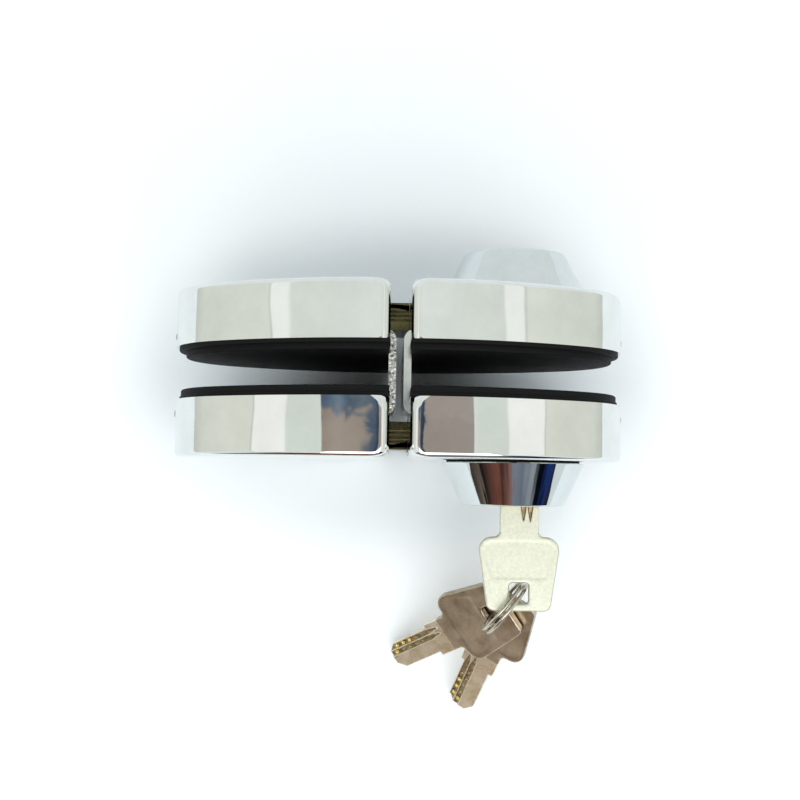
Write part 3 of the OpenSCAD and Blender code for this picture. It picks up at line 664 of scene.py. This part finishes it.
# Places of the keys: local y runs from the shoulder to the tip, z out of the upper face
ring_r = (RING_D - WIRE_D) / 2
ring_turned = (
    Matrix.Rotation(math.radians(RING_HEADING), 4, "Z")
    @ Matrix.Rotation(math.radians(90 + RING_LEAN), 4, "X")
)
plug_x = (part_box("key_in_lock")[0].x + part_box("key_in_lock")[1].x) / 2 / MM
key_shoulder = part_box("key_in_lock")[1].y / MM - BLADE_LEN


def ring_spot(seat):
    """Middle of a key's hole, from the ring's middle; a seat is degrees round, inside the wire, off plane."""
    angle, reach = math.radians(seat[0]), ring_r - seat[1]
    return ring_turned @ Vector((reach * math.cos(angle), reach * math.sin(angle), -seat[2]))


LOCK_SEAT = (138.3, 1.17, -0.04)
LEFT_SEAT = (-65.2, 1.26, -0.78)
RIGHT_SEAT = (-89.3, 0.79, 0.9)
ring_mid = Vector((plug_x, key_shoulder + HOLE_Y, 0)) - ring_spot(LOCK_SEAT)


def hung(seat, turn, dip, roll):
    """Place of a key that hangs on the ring."""
    return (
        Matrix.Translation(ring_mid + ring_spot(seat))
        @ Matrix.Rotation(math.radians(turn), 4, "Z")
        @ Matrix.Rotation(math.radians(dip), 4, "X")
        @ Matrix.Rotation(math.radians(roll), 4, "Y")
        @ Matrix.Translation((0, -HOLE_Y, 0))
    )


KEY_PLACES = {
    "key_in_lock": Matrix.Translation((plug_x, key_shoulder, 0)),
    "spare_key_left": hung(LEFT_SEAT, turn=120.2, dip=-37.6, roll=-6.9),
    "spare_key_right": hung(RIGHT_SEAT, turn=160.4, dip=-34.6, roll=17.5),
}


def make_key(node, plate, blade, voxel, passes):
    """A key with worn edges, its blade in its own finish; the milled grooves show a duller floor, darker as
    painted shade.
    """
    piece = softened(node, plate, voxel, passes, node)
    piece.data.materials.append(MILLED_GROOVE_AND_SHADE)
    piece.data.materials.append(blade)
    groove_index, blade_index = 1, 2
    from_key = TO_METRES @ KEY_PLACES[node]
    to_key = from_key.inverted()
    # The bow's panel is polished down until it is only just seen
    panel_low = KEY_T / 2 - PANEL_DEPTH - PANEL_CATCH
    for vertex in piece.data.vertices:
        spot = to_key @ vertex.co
        along = (spot.y - PANEL_Y[0]) / (PANEL_Y[1] - PANEL_Y[0])
        half_w = PANEL_HALF_W[0] + (PANEL_HALF_W[1] - PANEL_HALF_W[0]) * along
        if 0 < along < 1 and abs(spot.x) < half_w and abs(spot.z) > panel_low:
            spot.z = math.copysign(max(abs(spot.z), KEY_T / 2 - PANEL_SHOWN), spot.z)
            vertex.co = from_key @ spot
    # The bow's edges are tumbled rounder than the blade's
    bm = bmesh.new()
    bm.from_mesh(piece.data)
    bow = [v for v in bm.verts if (to_key @ v.co).y < BOW_FROM]
    for _ in range(BOW_PASSES):
        bmesh.ops.smooth_vert(
            bm, verts=bow, factor=0.5, use_axis_x=True, use_axis_y=True, use_axis_z=True,
        )
    bm.to_mesh(piece.data)
    bm.free()
    # The grooves' faces take a darker floor, partly painted shade of the grooves
    groove_from = TRACK_X[0] - TRACK_W / 2 - GROOVE_MARGIN
    groove_to = TRACK_X[1] + TRACK_W / 2 + GROOVE_MARGIN
    groove_top = KEY_T / 2 - GROOVE_UNDER
    groove_low = KEY_T / 2 - TRACK_DEPTH - DIMPLE_DEPTH - GROOVE_MARGIN
    for polygon in piece.data.polygons:
        spot = to_key @ polygon.center
        across = math.copysign(spot.x, spot.x * spot.z)
        if spot.y > -TRACK_RUN - BLADE_PAST:
            polygon.material_index = blade_index
        in_groove = groove_from < across < groove_to and groove_low < abs(spot.z) < groove_top
        if spot.y > -TRACK_RUN and in_groove:
            polygon.material_index = groove_index
    return piece


# Geometry trees, which work in millimetres

def new_tree(name, kinds):
    """A geometry tree with named inputs of given kinds; returns it with the sockets of its inputs."""
    tree = bpy.data.node_groups.new(name, "GeometryNodeTree")
    tree.interface.new_socket("Geometry", in_out="INPUT", socket_type="NodeSocketGeometry")
    for label, kind in kinds.items():
        tree.interface.new_socket(label, in_out="INPUT", socket_type=kind)
    tree.interface.new_socket("Finish", in_out="INPUT", socket_type="NodeSocketMaterial")
    tree.interface.new_socket("Geometry", in_out="OUTPUT", socket_type="NodeSocketGeometry")
    return tree, add(tree, "NodeGroupInput").outputs


def end_tree(tree, made, finish):
    """Turns what a tree made into plain mesh, gives it its finish and sends it out."""
    whole = add(tree, "GeometryNodeRealizeInstances", {"Geometry": made})
    finished = add(
        tree, "GeometryNodeSetMaterial", {"Geometry": whole.outputs["Geometry"], "Material": finish},
    )
    add(tree, "NodeGroupOutput", {"Geometry": finished.outputs["Geometry"]})
    return tree


def raised(tree, mesh, height):
    """A mesh moved up by a height."""
    shift = add(tree, "ShaderNodeCombineXYZ", {"Z": height}).outputs["Vector"]
    return add(tree, "GeometryNodeTransform", {"Geometry": mesh, "Translation": shift}).outputs["Geometry"]


def grown(name, tree, values, seeds=None):
    """An object made by a geometry tree, turned into a plain mesh."""
    piece = bpy.data.objects.new(name, seeds or bpy.data.meshes.new(name))
    bpy.context.scene.collection.objects.link(piece)
    growth = piece.modifiers.new("growth", "NODES")
    growth.node_group = tree
    for item in tree.interface.items_tree:
        if item.in_out == "INPUT" and item.name in values:
            growth[item.identifier] = values[item.name]
    settle(piece)
    for polygon in piece.data.polygons:
        polygon.use_smooth = True
    return piece


def bowl_tree():
    """Geometry tree that sets a small bowl on each point, turned to the point's face."""
    lengths = ("Rim radius", "Floor radius", "Depth", "Skin")
    tree, given = new_tree("dimple_bowls", {name: "NodeSocketFloat" for name in lengths})
    bowl = add(
        tree, "GeometryNodeMeshCone",
        {"Vertices": CUP_SIDES, "Side Segments": 2, "Radius Top": given["Rim radius"],
         "Radius Bottom": given["Floor radius"], "Depth": given["Depth"]}, fill_type="NONE",
    )
    skin = add(
        tree, "GeometryNodeExtrudeMesh",
        {"Mesh": bowl.outputs["Mesh"], "Offset Scale": given["Skin"], "Individual": False},
    )
    inside = add(tree, "GeometryNodeFlipFaces", {"Mesh": bowl.outputs["Mesh"]})
    both = add(tree, "GeometryNodeJoinGeometry")
    tree.links.new(inside.outputs["Mesh"], both.inputs["Geometry"])
    tree.links.new(skin.outputs["Mesh"], both.inputs["Geometry"])
    cup = add(
        tree, "GeometryNodeMergeByDistance", {"Geometry": both.outputs["Geometry"], "Distance": DIMPLE_WELD},
    )
    side = add(tree, "GeometryNodeInputNamedAttribute", {"Name": "side"}, data_type="FLOAT")
    flip = calc(tree, "MULTIPLY", side.outputs["Attribute"], math.pi)
    turn = add(tree, "ShaderNodeCombineXYZ", {"Y": flip})
    bowls = add(
        tree, "GeometryNodeInstanceOnPoints",
        {"Points": given["Geometry"], "Instance": cup.outputs["Geometry"],
         "Rotation": turn.outputs["Vector"]},
    )
    return end_tree(tree, bowls.outputs["Instances"], given["Finish"])


def make_dimples(node, tree):
    """Bare brass bowls in the grooves of both faces of a key."""
    points, sides = [], []
    floor = KEY_T / 2 - TRACK_DEPTH
    for side in (0, 1):
        for row in (0, 1):
            for i in DIMPLES_BARE[row]:
                x = TRACK_X[row] * (1 - 2 * side)
                y = DIMPLE_FIRST + (i + row / 2) * DIMPLE_PITCH
                z = (floor - DIMPLE_DEPTH / 2 + DIMPLE_PROUD) * (1 - 2 * side)
                points.append((x, y, z))
                sides.append(float(side))
    seeds = bpy.data.meshes.new(node + "_dimples")
    seeds.from_pydata(points, [], [])
    seeds.attributes.new("side", "FLOAT", "POINT").data.foreach_set("value", sides)
    piece = grown(node + "_dimples", tree, {
        "Rim radius": DIMPLE_R, "Floor radius": DIMPLE_LOW_R, "Depth": DIMPLE_DEPTH, "Skin": DIMPLE_SKIN,
        "Finish": BARE_BRASS,
    }, seeds)
    piece.data.transform(TO_METRES @ KEY_PLACES[node])
    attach(piece, node)


def ring_tree():
    """Geometry tree of the split ring's wire, which follows two turns and a jog."""
    kinds = {name: "NodeSocketFloat" for name in ("Ring radius", "Wire radius", "Lane", "Turns")}
    tree, given = new_tree("split_ring_wire", {**kinds, "Steps": "NodeSocketInt"})
    line = add(tree, "GeometryNodeMeshLine", {"Count": given["Steps"]})
    index = add(tree, "GeometryNodeInputIndex").outputs["Index"]
    last = calc(tree, "SUBTRACT", given["Steps"], 1.0)
    turn = calc(tree, "MULTIPLY", calc(tree, "DIVIDE", index, last), given["Turns"])
    angle = calc(tree, "MULTIPLY", turn, 2 * math.pi)
    jog = ranged(tree, turn, RING_JOG, (1.0, -1.0), interpolation_type="SMOOTHSTEP")
    x = calc(tree, "MULTIPLY", calc(tree, "COSINE", angle), given["Ring radius"])
    y = calc(tree, "MULTIPLY", calc(tree, "SINE", angle), given["Ring radius"])
    lane = calc(tree, "MULTIPLY", jog, given["Lane"])
    point = add(tree, "ShaderNodeCombineXYZ", {"X": x, "Y": y, "Z": lane})
    route = add(
        tree, "GeometryNodeSetPosition",
        {"Geometry": line.outputs["Mesh"], "Position": point.outputs["Vector"]},
    )
    curve = add(tree, "GeometryNodeMeshToCurve", {"Mesh": route.outputs["Geometry"]})
    section = add(
        tree, "GeometryNodeCurvePrimitiveCircle", {"Resolution": WIRE_SIDES, "Radius": given["Wire radius"]},
    )
    wire = add(
        tree, "GeometryNodeCurveToMesh",
        {"Curve": curve.outputs["Curve"], "Profile Curve": section.outputs["Curve"], "Fill Caps": True},
    )
    return end_tree(tree, wire.outputs["Mesh"], given["Finish"])


def make_ring():
    """Two turns of wire, closed on the holes of the three keys."""
    piece = grown("key_ring_wire", ring_tree(), {
        "Ring radius": ring_r, "Wire radius": WIRE_D / 2, "Lane": (WIRE_D + RING_GAP) / 2,
        "Turns": RING_TURNS, "Steps": WIRE_STEPS, "Finish": SPRING_WIRE,
    })
    piece.data.transform(TO_METRES @ Matrix.Translation(ring_mid) @ ring_turned)
    return dress(piece, "key_ring", ["key_ring"])


def screw_tree():
    """Geometry tree that sets a headless socket screw on each point."""
    kinds = {name: "NodeSocketFloat" for name in ("Radius", "Length", "Edge")}
    tree, given = new_tree("socket_screws", {**kinds, "Turn": "NodeSocketVector"})
    inner = calc(tree, "SUBTRACT", given["Radius"], given["Edge"])
    straight = calc(tree, "SUBTRACT", given["Length"], given["Edge"])
    shank = add(
        tree, "GeometryNodeMeshCylinder",
        {"Vertices": SCREW_SIDES, "Radius": given["Radius"], "Depth": straight},
    )
    crown = add(
        tree, "GeometryNodeMeshCone",
        {"Vertices": SCREW_SIDES, "Radius Top": inner, "Radius Bottom": given["Radius"],
         "Depth": given["Edge"]},
    )
    crown_up = calc(tree, "MULTIPLY_ADD", given["Edge"], 0.5, straight)
    lower = raised(tree, shank.outputs["Mesh"], calc(tree, "MULTIPLY", straight, 0.5))
    upper = raised(tree, crown.outputs["Mesh"], crown_up)
    solid = add(tree, "GeometryNodeMeshBoolean", operation="UNION")
    tree.links.new(lower, solid.inputs["Mesh 2"])
    tree.links.new(upper, solid.inputs["Mesh 2"])
    wrench = calc(tree, "MULTIPLY", given["Radius"], 0.5)
    socket = add(
        tree, "GeometryNodeMeshCylinder", {"Vertices": 6, "Radius": wrench, "Depth": given["Length"]},
    )
    tool = raised(tree, socket.outputs["Mesh"], given["Length"])
    cut = add(
        tree, "GeometryNodeMeshBoolean", {"Mesh 1": solid.outputs["Mesh"], "Mesh 2": tool},
        operation="DIFFERENCE",
    )
    screws = add(
        tree, "GeometryNodeInstanceOnPoints",
        {"Points": given["Geometry"], "Instance": cut.outputs["Mesh"], "Rotation": given["Turn"]},
    )
    return end_tree(tree, screws.outputs["Instances"], given["Finish"])


def make_cover_screws(half, tree):
    """The two small screws in the round end of a half."""
    node = half + "_cover_screws"
    low, high = [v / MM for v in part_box(node)]
    length = high.x - low.x
    radius = COVER_SCREW_D / 2
    out_x = low.x if half == "lock" else high.x
    points = [(out_x, low.y + radius, 0), (out_x, high.y - radius, 0)]
    seeds = bpy.data.meshes.new(node)
    seeds.from_pydata(points, [], [])
    quarter = math.pi / 2 if half == "lock" else -math.pi / 2
    piece = grown(node + "_turned", tree, {
        "Radius": radius, "Length": length, "Edge": SCREW_EDGE, "Turn": (0, quarter, 0), "Finish": ZINC_PLATE,
    }, seeds)
    piece.data.transform(TO_METRES)
    keep_edges(piece, angle=30)
    return dress(piece, half + "_half", [node])


# The covers, pads and cones
for side, place in (("front", FRONT), ("back", BACK)):
    make_cover(f"lock_{side}_cover", place, "lock_half", True, LIP_SWELL[side])
    make_cover(f"keeper_{side}_cover", KEEPER @ place, "keeper_half", False, LIP_SWELL[side])
    make_gasket(f"lock_{side}_gasket", place, "lock_half", PAD_INSET[side], BASE_INSET[side])
    make_gasket(f"keeper_{side}_gasket", KEEPER @ place, "keeper_half", PAD_INSET[side], BASE_INSET[side])
    make_rosette(f"{side}_rosette", place)

# The keys and their ring
dimples = bowl_tree()
for node, plate, blade, voxel, passes in (
    ("key_in_lock", NEW_NICKEL, NEW_NICKEL, 0.17, 3),
    ("spare_key_left", WORN_NICKEL, RUBBED_NICKEL, 0.19, 5),
    ("spare_key_right", WORN_NICKEL, RUBBED_NICKEL, 0.19, 5),
):
    make_key(node, plate, blade, voxel, passes)
    make_dimples(node, dimples)
make_ring()

# The bolts, the spines and what is seen in the gap
for side in ("front", "back"):
    eased(f"{side}_bolt", AGED_BRASS, 0.12, f"{side}_bolt")
    eased(f"{side}_bolt_case", MILL_STEEL, 0.2, "lock_half")
    eased(f"{side}_strike_box", MILL_STEEL, 0.2, "keeper_half")
    eased(f"{side}_cylinder", CHROMED_BODY, 0.15, "lock_half")
    eased(f"{side}_plug", TURNED_BRASS, 0.12, f"{side}_plug")
eased("lock_spine", MILL_STEEL, 0.3, "lock_half")
eased("keeper_spine", CAST_ZINC, 0.3, "keeper_half")
screws = screw_tree()
for half in ("lock", "keeper"):
    make_cover_screws(half, screws)

# Finishes of the inner pieces, which keep their own form
FINISH_OF = {
    "plated_steel": ZINC_PLATE, "satin_steel": MILL_STEEL, "brass": TURNED_BRASS,
    "nickel_plate": NEW_NICKEL, "ring_steel": SPRING_WIRE, "polished_steel": POLISHED,
    "black_rubber": RUBBER_AND_SHADE,
}
for part in frame["record"]["subparts"]:
    mesh = nodes[part["node"]].data
    mesh.materials.clear()
    mesh.materials.append(FINISH_OF[part["material_slot"]])


# Table, light and camera

def flat_sheet(name, size, place, material, hidden=()):
    """A flat sheet of a width and a depth in metres, which some kinds of rays don't meet."""
    bm = bmesh.new()
    bmesh.ops.create_grid(bm, x_segments=1, y_segments=1, size=0.5)
    mesh = bpy.data.meshes.new(name)
    bm.to_mesh(mesh)
    bm.free()
    mesh.transform(place @ Matrix.Diagonal((size[0], size[1], 1, 1)))
    mesh.materials.append(material)
    sheet = bpy.data.objects.new(name, mesh)
    for rays in hidden:
        setattr(sheet, rays, False)
    bpy.context.scene.collection.objects.link(sheet)
    return sheet


def make_table():
    """White table top under the lock, with a painted glow that camera rays see in full and mirrored rays in
    part; the glow is nil near the lock, which keeps the shadow there, and lightens the shadow farther out.
    """
    material, tree, surface = new_material(
        "white_laminate", Roughness=0.7, Emission_Color=linear("#FFFEFC"),
    )
    tint = tinted(tree, noise(tree, 90, Detail=3.0), [(0.3, "#F2F7FE"), (0.7, "#F5FAFF")])
    path = add(tree, "ShaderNodeLightPath").outputs
    seen = calc(tree, "MULTIPLY_ADD", path["Is Glossy Ray"], MIRRORED_PAINTED_GLOW, path["Is Camera Ray"])
    off = add(
        tree, "ShaderNodeVectorMath", {0: place_on(tree, (1 / UNDER_LOCK[0], 1 / UNDER_LOCK[1], 0))},
        operation="LENGTH",
    )
    # Painted glow: nil under the lock, where its shade stays, and rising outwards, where it lightens the
    # shadow
    clear = ranged(
        tree, off.outputs["Value"], PAINTED_GLOW_BETWEEN, (0.0, TABLE_PAINTED_GLOW), interpolation_type="SMOOTHSTEP",
    )
    tree.links.new(tint, surface.inputs["Base Color"])
    tree.links.new(calc(tree, "MULTIPLY", seen, clear), surface.inputs["Emission Strength"])
    place = Matrix.Translation((0, 0, table_z - TABLE_DROP * MM))
    top = flat_sheet("table_top", (2 * TABLE_HALF, 2 * TABLE_HALF), place, material)


def make_room():
    """Pale room: bands of brighter and greyer wall to each side, white where it is seen past the table."""
    world = bpy.data.worlds.new("room")
    world.use_nodes = True
    bpy.context.scene.world = world
    tree = world.node_tree
    coords = add(tree, "ShaderNodeTexCoord")
    parts = add(tree, "ShaderNodeSeparateXYZ", {"Vector": coords.outputs["Generated"]}).outputs
    across = calc(tree, "ABSOLUTE", parts["X"])
    share = calc(tree, "DIVIDE", calc(tree, "ARCTAN2", across, parts["Z"]), math.pi)
    near = tinted(tree, share, [
        (0.0, "#E8EEE9"), (0.15, "#E5EBE5"), (0.155, "#DFE6DF"), (0.219, "#DEE5DD"), (0.223, "#FFFFFC"),
        (0.306, "#FDFFFA"), (0.309, "#BFC5BE"), (0.312, "#E4E7DD"), (0.49, "#DFE2D9"), (0.6, "#C6CBC6"),
    ])
    far = tinted(tree, share, [
        (0.0, "#E8EEE9"), (0.216, "#E1E7E0"), (0.221, "#FCFEFA"), (0.258, "#FAFCF8"), (0.261, "#C4CAC3"),
        (0.264, "#E6E9E0"), (0.49, "#DFE3DA"), (0.6, "#C6CBC6"),
    ])
    beyond = ranged(tree, parts["Y"], (0.08, 0.1))
    end_wall = ranged(tree, calc(tree, "ABSOLUTE", parts["Y"]), (0.25, 0.45))
    walls = mixed(tree, end_wall, mixed(tree, beyond, near, far), linear("#EBF1F2"))
    room = tree.nodes["Background"]
    tree.links.new(walls, room.inputs["Color"])
    room.inputs["Strength"].default_value = 1.0
    past = add(tree, "ShaderNodeBackground", {"Color": linear("#FCFEFF"), "Strength": 1.0})
    path = add(tree, "ShaderNodeLightPath").outputs
    both = add(
        tree, "ShaderNodeMixShader",
        {0: path["Is Camera Ray"], 1: room.outputs[0], 2: past.outputs[0]},
    )
    tree.links.new(both.outputs[0], tree.nodes["World Output"].inputs["Surface"])


def make_card(name, size, place, turn, high, low, split, patch_mm, streak):
    """A dark flag beside the camera that only the metal mirrors: one row of colours above another."""
    drift, wander, blur = 0.2, 0.4, 0.01
    material = bpy.data.materials.new(name)
    material.use_nodes = True
    tree = material.node_tree
    tree.nodes.clear()
    coords = add(tree, "ShaderNodeTexCoord")
    parts = add(tree, "ShaderNodeSeparateXYZ", {"Vector": coords.outputs["Object"]}).outputs
    folds = noise(tree, patch_mm, (1, streak, 1), Detail=2.0, Distortion=0.8)
    ends = (place[0] - size[0] / 2, place[0] + size[0] / 2)
    along = ranged(tree, parts["X"], ends, (-0.1, 0.9))
    drifted = calc(tree, "MULTIPLY_ADD", folds, drift, along)
    upper = tinted(tree, drifted, high)
    lower = tinted(tree, drifted, low)
    up = calc(tree, "ADD", parts["Y"], parts["Z"])
    wandered = calc(tree, "MULTIPLY_ADD", folds, wander * size[1], up)
    middle = place[1] + place[2] + wander / 2 * size[1] + split * size[1]
    above = ranged(tree, wandered, (middle - blur * size[1], middle + blur * size[1]))
    glow = add(tree, "ShaderNodeEmission", {"Color": mixed(tree, above, lower, upper), "Strength": 1.0})
    add(tree, "ShaderNodeOutputMaterial", {"Surface": glow.outputs[0]})
    card = flat_sheet(
        name, size, Matrix.Translation(place) @ Matrix.Rotation(math.radians(turn), 4, "X"), material,
        ("visible_camera", "visible_diffuse", "visible_transmission", "visible_shadow"),
    )


def make_shade(name, size, place):
    """A dark strip overhead that keeps the light out of the slot and the gap, and that nothing mirrors."""
    material, tree, surface = new_material("black_felt", Roughness=1.0, Specular_IOR_Level=0.0)
    tint = tinted(tree, noise(tree, 4, Detail=3.0), [(0.3, "#0A0A0C"), (0.7, "#141418")])
    tree.links.new(tint, surface.inputs["Base Color"])
    strip = flat_sheet(
        name, size, Matrix.Translation(place), material,
        ("visible_camera", "visible_glossy", "visible_transmission", "visible_shadow"),
    )


def make_lamp(name, size, power, place, aim, colour):
    """Soft lamp, placed where the flat rims of the covers don't mirror it."""
    lamp = bpy.data.lights.new(name, "AREA")
    lamp.shape = "RECTANGLE"
    lamp.size, lamp.size_y = size
    lamp.energy = power
    lamp.color = linear(colour)[:3]
    holder = bpy.data.objects.new(name, lamp)
    holder.location = place
    holder.rotation_euler = (Vector(aim) - Vector(place)).to_track_quat("-Z", "Y").to_euler()
    bpy.context.scene.collection.objects.link(holder)


def make_camera():
    """Looks almost straight down on the lock, which stands on its rims."""
    distance, across, along = 386.95, -4.98, -31.11
    tilt_x, tilt_y, roll = -0.06314, 0.01384, -0.01512
    focal_px, frame_px, sensor = 1250.0, 800.0, 36.0
    spin = Matrix.Rotation(roll, 4, "Z")
    aim = Matrix.Rotation(tilt_y, 4, "Y") @ Matrix.Rotation(tilt_x, 4, "X")
    lens = bpy.data.cameras.new("camera")
    lens.sensor_width = sensor
    lens.lens = focal_px / frame_px * sensor
    lens.clip_start, lens.clip_end = 0.01, 50.0
    camera = bpy.data.objects.new("camera", lens)
    camera.matrix_world = (
        Matrix.Translation(spin.transposed() @ (Vector((across, along, distance)) * MM))
        @ (aim @ spin).transposed()
    )
    bpy.context.scene.collection.objects.link(camera)
    bpy.context.scene.camera = camera


make_table()
make_room()
make_card(
    "flag_overhead", size=(0.39, 0.077), place=(-0.005, -0.0165, 0.386), turn=0,
    high=[
        (0.0, "#4E5F74"), (0.16, "#6E8092"), (0.24, "#4C5B6E"), (0.36, "#66737F"), (0.5, "#46566C"),
        (0.58, "#39455C"), (0.6, "#A59B94"), (1.0, "#AAA19B"),
    ],
    low=[
        (0.0, "#9A8C80"), (0.12, "#A99C92"), (0.36, "#A1958A"), (0.39, "#5A6878"), (0.5, "#3E4A60"),
        (0.58, "#333E54"), (0.6, "#A0958E"), (1.0, "#A49A94"),
    ],
    split=0.27, patch_mm=60, streak=16,
)
make_card(
    "flag_front", size=(1.1, 0.54), place=(0.03, -0.45, 0.23), turn=90,
    high=[
        (0.05, "#1A1718"), (0.14, "#262120"), (0.2, "#543A32"), (0.3, "#7A4C40"), (0.36, "#4A2E2A"),
        (0.46, "#8A6258"), (0.5, "#7E8794"), (0.6, "#6E7684"), (0.72, "#9BA1A8"), (0.78, "#0E111A"),
        (0.86, "#080A14"), (0.92, "#22356E"),
    ],
    low=[
        (0.0, "#3A3430"), (0.1, "#6A5E54"), (0.2, "#C6B8A5"), (0.4, "#B8AA98"), (0.6, "#5A5560"),
        (1.0, "#20283E"),
    ],
    split=-0.2, patch_mm=70, streak=2,
)
make_shade("shade_along_slot", size=(1.6, 0.1), place=(0, 0, 0.36))
make_shade("shade_along_gap", size=(0.06, 1.3), place=(0, 0, 0.35))
make_lamp(
    "window_light", size=(1.1, 0.8), power=5.2, place=(0.1, -0.5, 0.8), aim=(0.1, 0.0, 0.0), colour="#FFFEFA",
)
make_camera()
bpy.context.scene.view_settings.view_transform = "Standard"
